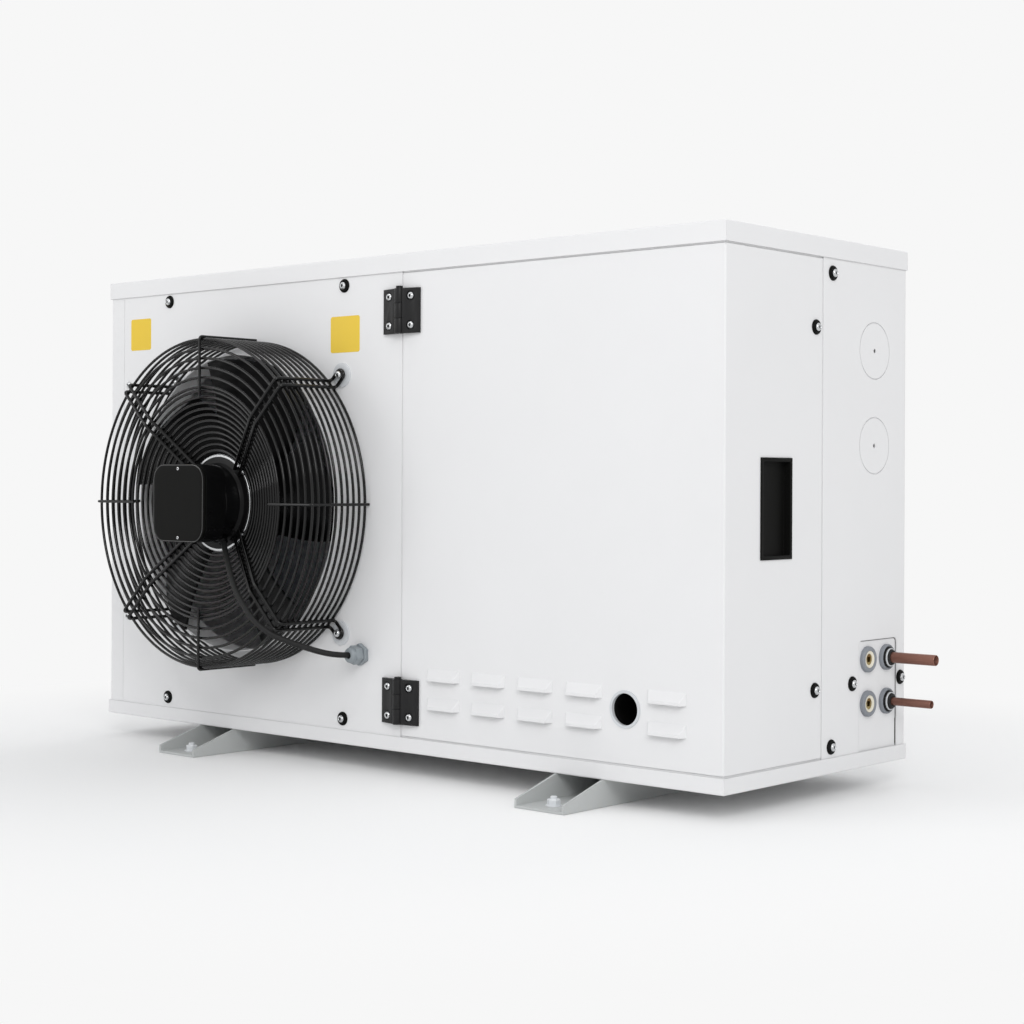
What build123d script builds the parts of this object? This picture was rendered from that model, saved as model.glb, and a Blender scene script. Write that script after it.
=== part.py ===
from build123d import *
import math
import os

# Refrigeration condensing unit in a sheet-metal case.
# Origin: centre of the four floor anchor holes, on the floor. X to the right, Y to the back, Z up.

# Case: outer sizes, sheet and gaps
case_width = 1047.0
case_depth = 371.0
case_height = 600.0
sheet = 1.5
fold_r = 2.0          # outside radius of a folded edge
lid_flange = 22.5
tray_flange = 18.0
fit = 0.3             # gap where one sheet slips inside another
over = 1.0            # how far a cut runs past the face it opens
panel_return = 12.0   # folded side edges of the fan panel
door_return = 12.0    # folded edges of the door
seal_thick = 3.0
jamb_overlap = 10.0
door_gap = 1.8        # gap round the door
left_flange = 28.0    # front return of the left side panel
rear_return = 24.0    # rear return of both side panels
seam_from_left = 573.7    # left end to the hinge seam
wing_depth = 189.0    # how far the door wraps round the right end

# Foot rails
rail_spacing = 618.0
rail_length = 505.0
rail_width = 70.0
rail_height = 30.0
rail_sheet = 3.0
rail_tip_height = 10.0
rail_from_left = 233.5
anchor_spacing = 455.0
anchor_hole_r = 6.0

# Fan opening and drawn collar
fan_from_left = 309.0
fan_height = 297.0    # above the tray underside
collar_r = 190.0
collar_height = 40.0
collar_flare = 8.0

# Fan guard
guard_r = 206.0
guard_start = 5.0     # first side ring, in front of the panel
side_ring_count = 10
side_ring_pitch = 9.6
face_ring_count = 5
face_ring_pitch = 12.0
funnel_ring_count = 11
funnel_ring_pitch = 7.4
guard_wire = 3.4
guard_ring_sides = 40     # a bent wire ring, drawn with this many chords
arm_wire = 4.2
arm_pair_gap = 12.0   # between the two wires of one arm
arm_bend_r = 144.0    # where an arm starts to slope back to the motor
funnel_start = 3.0    # first funnel ring, inside that bend
arm_count = 4
stay_reach = 78.0     # how far a stay runs in over the face
stay_count = 4
weld_gap = 0.1
bend_margin = 0.2     # inner radius of the sharp wire bends
ear_r = 226.0
ear_disc_r = 11.0
ear_sheet = 2.0

# Fan motor and impeller
flange_r = 62.0
flange_front = 64.0   # front face of the motor flange, in front of the panel
flange_thick = 6.0
flange_edge = 2.0
neck_r = 47.0
neck_length = 26.0
lead_boss_r = 6.0
lead_boss_out = 52.0  # how far out the lead leaves its boss, along the lower right arm
lead_height = 12.0    # above the flange
lead_offset = 12.0    # beside the lower right arm
box_side = 97.0
box_corner_r = 20.0
box_depth = 35.0
cover_thick = 4.0
cover_edge_r = 2.5
rotor_r = 58.0
rotor_length = 68.0
rotor_wall = 4.0
rotor_gap = 1.5
rotor_edge = 5.0
stator_r = 48.0
shaft_r = 6.0
shaft_clearance = 0.05
shaft_tunnel_gap = 1.5
bearing_r = 15.0
bearing_width = 10.0
blade_count = 5
blade_sheet = 3.0
hub_wall = 3.0
hub_length = 52.0
hub_start = 6.0       # in front of the rotor's closed end
hub_fit = 0.1
blade_camber = 0.09   # share of the chord
blade_root = (32.0, 70.0, 32.0, -6.0)     # distance out, chord, pitch angle and sweep
blade_middle = (120.5, 118.0, 25.0, 6.0)
blade_tip = (183.0, 160.0, 19.0, 34.0)

# Motor cable and gland
cable_r = 3.6
gland_from_left = 505.0
gland_height = 113.0
gland_hex = 24.0
gland_flange_lip = 2.0
gland_edge = 3.0
gland_seat = 3.0      # depth at which the lead ends in the gland
gland_flange_height = 6.0
gland_nut_length = 17.0

# Hinges
hinge_heights = (60.8, 530.0)
hinge_height = 54.0
hinge_leaf = 30.0
hinge_leaf_thick = 4.0    # under a screw head
hinge_edge_thick = 3.0
hinge_root_thick = 8.0
hinge_web = 3.0
knuckle_r = 6.0
knuckle_split = 0.4
hinge_pin_r = 3.0
pin_head_r = 4.2
pin_head_height = 3.0
hinge_pin_clearance = 0.05
hinge_screw_inset = 12.0
hinge_screw_pitch = 35.0

# Screws
screw_head_r = 5.5
screw_head_height = 3.6
screw_dome = 1.6
screw_shank_r = 2.4
washer_r = 8.5
washer_thick = 2.0
hole_clearance = 0.3

# Door louvres and sight hole
louvre_length = 51.0
louvre_height = 14.5
louvre_proud = 7.0
louvre_slant = 4.9    # how much each end draws in from the panel to the crest
louvre_crest = 3.6    # height of the crest at the mouth
louvre_round = 1.2
louvre_lefts = (429.0, 357.6, 286.7, 215.3, 101.0)    # left edges, back from the right end
louvre_rows = (62.5, 96.5)
sight_hole_r = 17.5
sight_from_right = 131.8
sight_height = 79.5
trim_wall = 1.6
trim_proud = 1.2

# Recessed door handle
handle_width = 60.0
handle_height = 110.0
handle_from_front = 67.0
handle_bottom = 243.0
handle_depth = 9.0
handle_wall = 2.0
handle_rim = 4.0
handle_proud = 1.5

# Service side panel
knockout_r = 33.0
knockout_slit = 0.8
knockout_from_rear = 71.0
knockout_heights = (369.0, 478.5)
cutout_width = 84.0
cutout_from_rear = 19.0
cutout_height = 145.0
cutout_corner_r = 6.0
plate_margin = 16.0
plate_reach = 28.8    # how far the valve plate runs past the cut-out towards the front
plate_sheet = 2.0
plate_slot_width = 1.6
plate_slot_heights = (20.0, 50.0)
side_screw_from_rear = 162.0
side_screw_inset = 30.0
side_screw_drop = 39.0
wing_screw_inset = 14.0
wing_screw_heights = (96.2, 498.5)
plate_screw_height = 97.5
plate_screw_gaps = (14.5, 8.0)
fan_screw_inset = 101.5
fan_screw_edge = 31.5
edge_screw_from_left = 41.5

# Service valves
valve_heights = (72.0, 123.0)    # liquid below, suction above
stem_from_rear = 83.0
stub_from_rear = 41.5
suction_pipe_r = 6.35
liquid_pipe_r = 4.76
pipe_wall = 1.0
stub_neck = 0.4        # the tail is drawn down by this much inside its grommet and port
stub_clear = 0.5
suction_stub_out = 63.0
liquid_stub_out = 57.5
valve_block_length = 44.0
valve_block_height = 26.0
valve_block_margin = 14.0
valve_edge = 4.0
stem_r = 6.5
stem_length = 34.0
stem_square = 6.0
stem_proud = 1.0
grommet_r = 15.0
grommet_thick = 5.0
grommet_neck = 1.2
grommet_edge = 1.5
sleeve_r = 12.0
sleeve_step = 2.8
port_depth = 14.0

# Condenser coil
coil_depth = 66.0
coil_from_rear = 26.0
coil_side_gap = 32.0
coil_plate_sheet = 2.0
coil_tube_r = 4.8
coil_row_pitch = 33.0
coil_tube_pitch = 50.0
coil_bend_reach = 15.0
coil_bend_r = 11.0
coil_hole_gap = 2.0   # round the pipes where they pass the divider

# Compressor
compressor_from_seam = 150.0
compressor_y = 38.0
compressor_r = 84.0
compressor_height = 285.0
compressor_knuckle = 24.0
foot_plate_width = 210.0
foot_plate_depth = 176.0
foot_plate_thick = 4.0
mount_r = 15.0
mount_height = 24.0
mount_inset = 20.0
mount_bolt_r = 4.0
bolt_head_height = 6.0
shell_skirt_r = 58.8
belt_height = 176.7
belt_width = 12.0
belt_proud = 2.5
discharge_height = 142.5
suction_height = 205.2
terminal_width = 60.0
terminal_tall = 70.0
terminal_proud = 26.0
terminal_height = 71.0
terminal_edge = 8.0

dish_ratio = 1.25     # crown radius of a dished end, as a share of the shell radius

# Receiver, drier and sight glass
receiver_from_seam = 258.0
receiver_y = -112.0
receiver_r = 47.0
receiver_height = 300.0
receiver_knuckle = 14.0
receiver_lift = 20.0
receiver_foot_r = 23.5
receiver_disc_r = 57.0
receiver_disc_thick = 3.0
outlet_offset = 12.0
pipe_boss = 4.0       # how far a pipe fitting stands out round its pipe
drier_r = 24.0
drier_length = 110.0
drier_cone = 19.2
drier_neck = 2.0
drier_bottom = 180.0
sight_glass_r = 13.0
sight_glass_length = 44.0
sight_glass_back = 52.0    # behind the outer face of the door
sight_glass_wall = 3.0
sight_window_depth = 2.0
sight_glass_rear = 4.0

# Pipe runs in the service bay
pipe_bend_r = 12.0
pipe_over = 50.0      # how far the liquid pipe rises over the receiver
pipe_under = 20.0
pipe_aside = 50.0
liquid_bend_r = 14.0
suction_aside = 60.0
suction_bend_r = 18.0
discharge_back = 30.0
discharge_jog = 12.0
discharge_bends = (12.0, 12.0, 20.0, 9.0)
condensate_aside = 14.0

# Electrical box and pressure switch
ebox_width = 230.0
ebox_depth = 95.0
ebox_height = 150.0
ebox_from_front = 32.0
ebox_top_gap = 16.0
contactor_size = (62.0, 66.0, 80.0)
contactor_place = (30.0, 34.0)    # from the box's left wall and floor
contactor_step = 14.0
capacitor_r = 22.0
capacitor_top = 110.0
capacitor_from_contactor = 40.0
capacitor_from_back = 24.0
switch_size = (42.0, 52.0, 76.0)
switch_place = (12.0, 30.0)       # from the box's front edge and floor
button_height = 53.2
button_r = 5.0
button_travel = 2.0
button_length = 12.0
button_clearance = 0.3
button_proud = 5.0

# Places worked out from the sizes
x_left = -rail_spacing / 2 - rail_from_left
x_right = x_left + case_width
y_front = -case_depth / 2
y_back = case_depth / 2
z_tray = rail_height
z_top = z_tray + case_height
z_floor = z_tray + sheet
z_ceiling = z_top - sheet
face_y = y_front + sheet + fit         # outer face of the front panels
rear_y = y_back - sheet - fit
left_x = x_left + sheet + fit
right_x = x_right - sheet - fit
seam_x = x_left + seam_from_left
wing_y = y_front + wing_depth
fan_x = x_left + fan_from_left
fan_z = z_tray + fan_height
fan_place = Pos(fan_x, face_y, fan_z) * Rot(90, 0, 0)    # local Z runs out of the front
pin_y = face_y - knuckle_r
door_z0 = z_tray + tray_flange + door_gap
door_z1 = z_top - lid_flange - door_gap
guard_front = guard_start + (side_ring_count - 1) * side_ring_pitch
stub_y = y_back - stub_from_rear
stem_y = y_back - stem_from_rear
valve_zs = [z_tray + height for height in valve_heights]
valve_pipe_rs = (liquid_pipe_r, suction_pipe_r)
plate_x = right_x - sheet              # outer face of the valve plate
divider_x = seam_x - 2 * sheet - 2 * fit
sight_x = x_right - sight_from_right
sight_z = z_tray + sight_height
inner_front = face_y + sheet
cut_y1 = y_back - cutout_from_rear     # rear and front edges of the pipe cut-out
cut_y0 = cut_y1 - cutout_width
jamb_y = face_y + door_return + seal_thick + 2 * fit


def block(x0, x1, y0, y1, z0, z1):
    """A rectangular block between two corners."""
    return Pos((x0 + x1) / 2, (y0 + y1) / 2, (z0 + z1) / 2) * Box(x1 - x0, y1 - y0, z1 - z0)


def rod_x(radius, x0, x1, y, z):
    """A round bar along X."""
    return Pos((x0 + x1) / 2, y, z) * Rot(0, 90, 0) * Cylinder(radius, x1 - x0)


def rod_y(radius, x, y0, y1, z):
    """A round bar along Y."""
    return Pos(x, (y0 + y1) / 2, z) * Rot(90, 0, 0) * Cylinder(radius, y1 - y0)


def rod_z(radius, x, y, z0, z1):
    """A round bar along Z."""
    return Pos(x, y, (z0 + z1) / 2) * Cylinder(radius, z1 - z0)


def group(solids):
    """Separate solids kept together in one node."""
    return Compound(children=[solid for solid in solids])


def tube(points, radius, bend):
    """A bent round pipe through the points."""
    path = FilletPolyline(*points, radius=bend)
    return sweep(Plane(origin=path @ 0, z_dir=path % 0) * Circle(radius), path=path)


def wire_sweep(points, size, bend):
    """A bent wire of six-sided section through the points."""
    path = FilletPolyline(*points, radius=bend)
    return sweep(Plane(origin=path @ 0, z_dir=path % 0) * RegularPolygon(size / 2, 6), path=path)


# Foot rails, tray and lid

def foot_rail(x):
    """A floor channel with tapered tips, an anchor hole near each tip and its web on the floor."""
    side = rail_width / 2
    half = rail_length / 2
    under = case_depth / 2
    profile = Polyline((-half, 0), (half, 0), (half, rail_tip_height), (under, rail_height),
                       (-under, rail_height), (-half, rail_tip_height), close=True)
    body = extrude(Plane.YZ * make_face(profile), amount=side, both=True)
    hollow = block(-side + rail_sheet, side - rail_sheet, -half, half, rail_sheet, rail_height)
    body -= hollow
    for y in (-anchor_spacing / 2, anchor_spacing / 2):
        body -= Pos(0, y, rail_sheet / 2) * Cylinder(anchor_hole_r, 2 * rail_sheet)
    return Pos(x, 0, 0) * body


def base_tray():
    """The floor tray with its upturned flange and folded lower edges."""
    outer = block(x_left, x_right, y_front, y_back, z_tray, z_tray + tray_flange)
    outer = fillet(outer.edges().group_by(Axis.Z)[0], fold_r)
    inner = block(x_left + sheet, x_right - sheet, y_front + sheet, y_back - sheet,
                  z_floor, z_tray + tray_flange)
    return outer - inner


def lid():
    """The roof tray with its turned-down flange and folded upper edges."""
    outer = block(x_left, x_right, y_front, y_back, z_top - lid_flange, z_top)
    outer = fillet(outer.edges().group_by(Axis.Z)[-1], fold_r)
    inner = block(x_left + sheet, x_right - sheet, y_front + sheet, y_back - sheet,
                  z_top - lid_flange, z_ceiling)
    return outer - inner


# Case panels

def fan_panel():
    """The front panel with side returns and the drawn collar round the fan."""
    x0 = left_x + left_flange + fit
    x1 = seam_x - door_gap / 2
    skin = block(x0, x1, face_y, inner_front, z_floor, z_ceiling)
    skin += block(x0, x0 + sheet, face_y, face_y + panel_return, z_floor, z_ceiling)
    skin += block(x1 - sheet, x1, face_y, face_y + panel_return, z_floor, z_ceiling)
    skin -= fan_place * Cylinder(collar_r + collar_flare, 4 * sheet)
    with BuildSketch(Plane.XZ) as section:
        with BuildLine():
            foot = (collar_r + collar_flare, 0)
            bend = (collar_r, collar_flare)
            Line((collar_r + collar_flare, -sheet), foot)
            RadiusArc(foot, bend, collar_flare)
            Line(bend, (collar_r, collar_height))
            Line((collar_r, collar_height), (collar_r - sheet, collar_height))
            Line((collar_r - sheet, collar_height), (collar_r - sheet, collar_flare))
            RadiusArc((collar_r - sheet, collar_flare), (collar_r + collar_flare, -sheet),
                      -(collar_flare + sheet))
        make_face()
    collar = revolve(section.sketch, Axis.Z)
    skin += fan_place * collar
    for x, z in fan_panel_screw_places() + edge_screw_places() + hinge_screw_places(-1):
        skin -= rod_y(screw_shank_r + hole_clearance, x, face_y - sheet, face_y + 3 * sheet, z)
    return skin


def fan_panel_screw_places():
    """Centres of the four fixing screws and the two edge screws of the fan panel."""
    middle = x_left + (left_flange + seam_from_left) / 2
    reach = (seam_from_left - left_flange) / 2 - fan_screw_inset
    corners = [(middle + side * reach, z) for side in (-1, 1)
               for z in (z_tray + fan_screw_edge, z_top - fan_screw_edge - sheet)]
    return corners


def edge_screw_places():
    """Centres of the two unwashered screws at the left edge of the fan panel."""
    offset = ear_r * math.sin(math.radians(45))
    return [(x_left + edge_screw_from_left, fan_z + side * offset) for side in (-1, 1)]


def left_side_panel():
    """The left end: a channel that wraps the front and rear edges."""
    outer = block(left_x, left_x + left_flange, face_y, rear_y, z_floor, z_ceiling)
    outer = fillet(outer.edges().filter_by(Axis.Z).group_by(Axis.X)[0], fold_r)
    inner = block(left_x + sheet, left_x + left_flange, face_y + sheet, rear_y - sheet,
                  z_floor, z_ceiling)
    return outer - inner


def service_side_panel():
    """The fixed part of the right end, with knockouts, pipe cut-out and a step behind the door."""
    step = sheet + fit
    y0 = wing_y + door_gap / 2
    step_y = wing_y - 2 * wing_screw_inset
    skin = block(right_x - sheet, right_x, y0, rear_y, z_floor, z_ceiling)
    skin += block(right_x - rear_return, right_x, rear_y - sheet, rear_y, z_floor, z_ceiling)
    skin += block(right_x - sheet - step, right_x - sheet, y0, y0 + sheet, z_floor, z_ceiling)
    skin += block(right_x - sheet - step, right_x - step, step_y, y0 + sheet, z_floor, z_ceiling)
    cut_z = z_tray + cutout_height
    opening = block(right_x - 2 * sheet, right_x + sheet, cut_y0, cut_y1, z_tray, cut_z)
    opening = fillet(opening.edges().filter_by(Axis.X).group_by(Axis.Z)[-1], cutout_corner_r)
    skin -= opening
    for height in knockout_heights:
        z = z_tray + height
        y = y_back - knockout_from_rear
        ring = rod_x(knockout_r, right_x - sheet / 2, right_x + sheet, y, z)
        ring -= rod_x(knockout_r - knockout_slit, right_x - sheet, right_x + 2 * sheet, y, z)
        skin -= ring
        skin -= rod_x(screw_shank_r, right_x - 2 * sheet, right_x + sheet, y, z)
    for y, z in side_screw_places() + plate_screw_places():
        skin -= rod_x(screw_shank_r + hole_clearance, right_x - 3 * sheet, right_x + sheet, y, z)
    for z in wing_screw_zs():
        skin -= rod_x(screw_shank_r + hole_clearance, right_x - 4 * sheet, right_x + sheet,
                      wing_y - wing_screw_inset, z)
    return skin


def side_screw_places():
    """The upper and lower fixing screws of the service side panel."""
    y = y_back - side_screw_from_rear
    return [(y, z_tray + side_screw_inset), (y, z_top - side_screw_drop)]


def plate_screw_places():
    """The two screws that hold the valve plate, either side of the cut-out."""
    front_gap, rear_gap = plate_screw_gaps
    z = z_tray + plate_screw_height
    return [(cut_y0 - front_gap, z), (cut_y1 + rear_gap, z)]


def wing_screw_zs():
    """Heights of the two screws on the side of the door."""
    return [z_tray + height for height in wing_screw_heights]


def valve_plate():
    """The plate behind the cut-out that carries the service valves, with its drain slot."""
    plate = block(plate_x - plate_sheet, plate_x, cut_y0 - plate_reach,
                  rear_y - sheet - fit, z_floor, z_tray + cutout_height + plate_margin)
    slot_low, slot_high = plate_slot_heights
    plate -= block(plate_x - 2 * plate_sheet, plate_x + plate_sheet, cut_y1 - plate_slot_width,
                   cut_y1, z_tray + slot_low, z_tray + slot_high)
    for z in valve_zs:
        for y in (stem_y, stub_y):
            plate -= rod_x(grommet_r - 2 * grommet_neck, plate_x - 2 * plate_sheet,
                           plate_x + plate_sheet, y, z)
    for y, z in plate_screw_places():
        plate -= rod_x(screw_shank_r + hole_clearance, plate_x - 2 * plate_sheet,
                       plate_x + plate_sheet, y, z)
    return plate


def divider_panel():
    """The wall between the fan bay and the service bay, with the door jamb and pipe holes."""
    jamb_x = seam_x + door_return + jamb_overlap
    wall = block(divider_x - sheet, divider_x, jamb_y, rear_y - sheet - fit, z_floor, z_ceiling)
    wall += block(divider_x - sheet, jamb_x, jamb_y, jamb_y + sheet, z_floor, z_ceiling)
    for y, z in coil_pipe_places():
        wall -= rod_x(coil_tube_r + coil_hole_gap, divider_x - 2 * sheet, divider_x + sheet, y, z)
    return wall


def rear_panel():
    """The rear wall of the service bay."""
    x0 = divider_x - sheet - rear_return
    x1 = right_x - rear_return - fit
    panel = block(x0, x1, rear_y - sheet, rear_y, z_floor, z_ceiling)
    panel += block(x0, x0 + sheet, rear_y - rear_return / 2, rear_y, z_floor, z_ceiling)
    return panel


# Door

def door_panel():
    """The L-shaped service door with louvres, sight hole, handle opening and inner returns."""
    x0 = seam_x + door_gap / 2
    x1 = right_x
    y1 = wing_y - door_gap / 2
    front = block(x0, x1, face_y, inner_front, door_z0, door_z1)
    wing = block(x1 - sheet, x1, face_y, y1, door_z0, door_z1)
    hinge_side = block(x0, x0 + sheet, face_y, face_y + door_return, door_z0, door_z1)
    hinge_lip = block(x0, x0 + door_return, face_y + door_return - sheet, face_y + door_return,
                      door_z0, door_z1)
    door = front + wing
    corner = door.edges().filter_by(Axis.Z).group_by(Axis.X)[-1].group_by(Axis.Y)[0]
    door = fillet(corner, fold_r) + hinge_side + hinge_lip
    for z in (door_z0, door_z1 - sheet):
        door += block(x0, x1, face_y, face_y + door_return, z, z + sheet)
        door += block(x1 - door_return, x1, face_y, wing_y - 3 * wing_screw_inset, z, z + sheet)
    hand_y = y_front + handle_from_front
    hand_z = z_tray + handle_bottom
    door -= block(x1 - 2 * sheet, x1 + sheet, hand_y + handle_rim / 2,
                  hand_y + handle_width - handle_rim / 2, hand_z + handle_rim / 2,
                  hand_z + handle_height - handle_rim / 2)
    door -= rod_y(sight_hole_r + trim_wall, sight_x, face_y - sheet, inner_front + sheet, sight_z)
    for back in louvre_lefts:
        for height in louvre_rows:
            door = louvred(door, x_right - back, z_tray + height - louvre_height / 2)
    for x, z in hinge_screw_places(1):
        door -= rod_y(screw_shank_r + hole_clearance, x, face_y - sheet, inner_front + sheet, z)
    for z in wing_screw_zs():
        door -= rod_x(screw_shank_r + hole_clearance, x1 - 2 * sheet, x1 + sheet,
                      wing_y - wing_screw_inset, z)
    return door


def louvred(panel, x, z):
    """Presses one louvre out of the panel: a hood with slanting ends, open along its lower edge."""
    wide = Rectangle(louvre_length, louvre_height)
    crest_y = (louvre_crest - louvre_height) / 2
    crest = Pos(0, crest_y) * Rectangle(louvre_length - 2 * louvre_slant, louvre_crest)
    outer = loft([wide, Pos(0, 0, louvre_proud) * crest], ruled=True)
    slopes = outer.edges().filter_by(Axis.Z, reverse=True).group_by(Axis.Z)[1]
    outer = fillet(slopes.group_by(Axis.Y)[-1], louvre_round)
    inside = louvre_length - 2 * sheet
    narrow = Pos(0, -sheet / 2) * Rectangle(inside, louvre_height - sheet)
    inner_crest = Pos(0, crest_y - louvre_crest / 4) * Rectangle(
        inside - 2 * louvre_slant, louvre_crest / 2)
    inner = loft([Pos(0, 0, -sheet) * narrow, Pos(0, 0, louvre_proud - sheet) * inner_crest],
                 ruled=True)
    mouth = Pos(0, -louvre_height / 2, (louvre_proud - sheet) / 2) * Box(
        inside - 2 * louvre_slant, sheet, louvre_proud - sheet)
    place = Pos(x + louvre_length / 2, face_y, z + louvre_height / 2) * Rot(90, 0, 0)
    return panel + place * outer - place * inner - place * mouth


def door_seal():
    """The foam strip on the hinge-side lip of the door, facing the jamb."""
    x0 = seam_x + door_gap / 2 + sheet
    y0 = face_y + door_return
    return block(x0, x0 + door_return - sheet, y0, y0 + seal_thick, door_z0, door_z1)


def sight_hole_trim():
    """The thin ring that edges the sight hole."""
    ring = rod_y(sight_hole_r + 2 * trim_wall, sight_x, face_y - trim_proud, face_y, sight_z)
    ring += rod_y(sight_hole_r + trim_wall - weld_gap, sight_x, face_y - trim_proud,
                  inner_front + trim_proud, sight_z)
    return ring - rod_y(sight_hole_r, sight_x, face_y - 2 * trim_proud, inner_front + 2 * trim_proud,
                        sight_z)


def recess_handle():
    """The moulded handle cup set into the side of the door."""
    y0 = y_front + handle_from_front
    z0 = z_tray + handle_bottom
    inset = handle_rim / 2 + hole_clearance
    rim = block(right_x, right_x + handle_proud, y0, y0 + handle_width, z0, z0 + handle_height)
    cup = block(right_x - handle_depth, right_x, y0 + inset, y0 + handle_width - inset,
                z0 + inset, z0 + handle_height - inset)
    cup = fillet(cup.edges().filter_by(Axis.X), inset)
    wall = inset + handle_wall
    pocket = block(right_x - handle_depth + handle_wall, right_x + handle_proud, y0 + wall,
                   y0 + handle_width - wall, z0 + wall, z0 + handle_height - wall)
    pocket = fillet(pocket.edges().filter_by(Axis.X), handle_wall)
    return rim + cup - pocket


# Hinges

def hinge_screw_places(side):
    """Screw centres of the leaves on the fan panel (-1) or on the door (1)."""
    x = seam_x + side * (hinge_leaf - hinge_screw_inset)
    zs = []
    for height in hinge_heights:
        zs.append(z_tray + height - hinge_screw_pitch / 2)
        zs.append(z_tray + height + hinge_screw_pitch / 2)
    return [(x, z) for z in zs]


def hinge_leaf_pair(side):
    """The two leaves on one side of the seam, each with its share of the knuckle."""
    leaves = []
    gap = knuckle_split / 2
    for height in hinge_heights:
        z = z_tray + height
        z0 = z - hinge_height / 2
        third = hinge_height / 3
        barrel_zs = [(z - third / 2 + gap, z + third / 2 - gap)]
        if side < 0:
            barrel_zs = [(z0, z - third / 2 - gap), (z + third / 2 + gap, z + hinge_height / 2)]
        near = seam_x + side * (knuckle_r + knuckle_split)
        far = seam_x + side * hinge_leaf
        wedge = Polyline((near, face_y), (far, face_y), (far, face_y - hinge_edge_thick),
                         (near, face_y - hinge_root_thick), close=True)
        leaf = Pos(0, 0, z0) * extrude(make_face(wedge), amount=hinge_height, dir=(0, 0, 1))
        for low, high in barrel_zs:
            barrel = rod_z(knuckle_r, seam_x, pin_y, low, high)
            b0, b1 = min(seam_x, near), max(seam_x, near)
            barrel += block(b0, b1, pin_y, pin_y + hinge_web, low, high)
            leaf += barrel
        leaf -= rod_z(hinge_pin_r + hinge_pin_clearance, seam_x, pin_y, z0 - over,
                      z0 + hinge_height + over)
        leaves.append(leaf)
    seat_y = face_y - hinge_leaf_thick
    holes = []
    for x, z in hinge_screw_places(side):
        holes.append(rod_y(screw_shank_r + hole_clearance, x, seat_y - over, face_y + over, z))
        holes.append(rod_y(screw_head_r + hole_clearance, x, face_y - 2 * hinge_root_thick, seat_y, z))
    return group([leaf - holes for leaf in leaves])


def hinge_pins():
    """The two hinge pins, each with a small head above its knuckle."""
    pins = []
    for height in hinge_heights:
        z = z_tray + height
        pin = rod_z(hinge_pin_r, seam_x, pin_y, z - hinge_height / 2, z + hinge_height / 2)
        pin += rod_z(pin_head_r, seam_x, pin_y, z + hinge_height / 2,
                     z + hinge_height / 2 + pin_head_height)
        pins.append(pin)
    return group(pins)


# Screws and washers

def screw(shank_length, head_radius=screw_head_r):
    """A pan-head screw: its seat is at the origin, the head points along +Z."""
    dome = Cylinder(head_radius, screw_head_height, align=(Align.CENTER, Align.CENTER, Align.MIN))
    dome = chamfer(dome.edges().group_by(Axis.Z)[-1], screw_dome)
    shank = Cylinder(screw_shank_r, shank_length, align=(Align.CENTER, Align.CENTER, Align.MAX))
    return dome + shank


def front_place(x, z, proud):
    """Turns a screw to point out of the front."""
    return Pos(x, face_y - proud, z) * Rot(90, 0, 0)


def side_place(y, z, proud):
    """Turns a screw to point out of the right end."""
    return Pos(right_x + proud, y, z) * Rot(0, 90, 0)


def washer():
    """A thick plastic washer."""
    disc = Cylinder(washer_r, washer_thick, align=(Align.CENTER, Align.CENTER, Align.MIN))
    return disc - Cylinder(screw_shank_r + hole_clearance, 4 * washer_thick)


def panel_screws():
    """All fixed screws of the case: panels, hinge leaves on the fan panel, and guard fixings."""
    reach = washer_thick + 4 * sheet
    front = [front_place(x, z, washer_thick) * screw(reach) for x, z in fan_panel_screw_places()]
    side = [side_place(y, z, washer_thick) * screw(reach)
            for y, z in side_screw_places() + plate_screw_places()]
    edge = [front_place(x, z, 0) * screw(sheet) for x, z in edge_screw_places()]
    return group(front + side + edge + hinge_screws(-1) + guard_ear_screws())


def panel_washers():
    """The black washers under the fixing screws."""
    front = [front_place(x, z, 0) * washer() for x, z in fan_panel_screw_places()]
    side = [side_place(y, z, 0) * washer() for y, z in side_screw_places() + plate_screw_places()]
    return group(front + side)


def hinge_screws(side):
    """The screws through the leaves on one side."""
    reach = hinge_leaf_thick + sheet
    return [front_place(x, z, hinge_leaf_thick) * screw(reach) for x, z in hinge_screw_places(side)]


def door_screws():
    """Hinge screws of the door and the two captive screws on its side."""
    side = [side_place(wing_y - wing_screw_inset, z, washer_thick) * screw(washer_thick + sheet)
            for z in wing_screw_zs()]
    return group(hinge_screws(1) + side)


def door_washers():
    """The black washers under the captive side screws."""
    return group([side_place(wing_y - wing_screw_inset, z, 0) * washer() for z in wing_screw_zs()])


# Fan guard

def wire_ring(radius, height):
    """A closed wire ring round the fan axis, centred on the given height."""
    outer = RegularPolygon(radius + guard_wire / 2, guard_ring_sides)
    inner = RegularPolygon(radius - guard_wire / 2, guard_ring_sides)
    return Pos(0, 0, height - guard_wire / 2) * extrude(outer - inner, amount=guard_wire)


def arm_rise(radius):
    """Height of an arm's wire over the sloping part of the guard."""
    end = flange_front + arm_wire / 2 + weld_gap
    crest = guard_front + (guard_wire + arm_wire) / 2 + weld_gap
    share = (radius - arm_end_r()) / (arm_bend_r - arm_end_r())
    return end + share * (crest - end)


def arm_end_r():
    """Where an arm stops on the motor flange, beside the neck."""
    return (neck_r + flange_r) / 2


def guard_rings():
    """Side rings of the basket, flat face rings and the funnel rings that fall back to the motor."""
    rings = [wire_ring(guard_r, guard_start + i * side_ring_pitch) for i in range(side_ring_count)]
    for i in range(1, face_ring_count + 1):
        rings.append(wire_ring(guard_r - i * face_ring_pitch, guard_front))
    slope = (arm_rise(arm_bend_r) - arm_rise(flange_r)) / (arm_bend_r - flange_r)
    under = (guard_wire + arm_wire) / 2 * math.hypot(1, slope) + 2 * weld_gap
    for i in range(funnel_ring_count):
        radius = arm_bend_r - funnel_start - i * funnel_ring_pitch
        rings.append(wire_ring(radius, arm_rise(radius) - under - guard_wire * slope / 2))
    return group([fan_place * ring for ring in rings])


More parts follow.
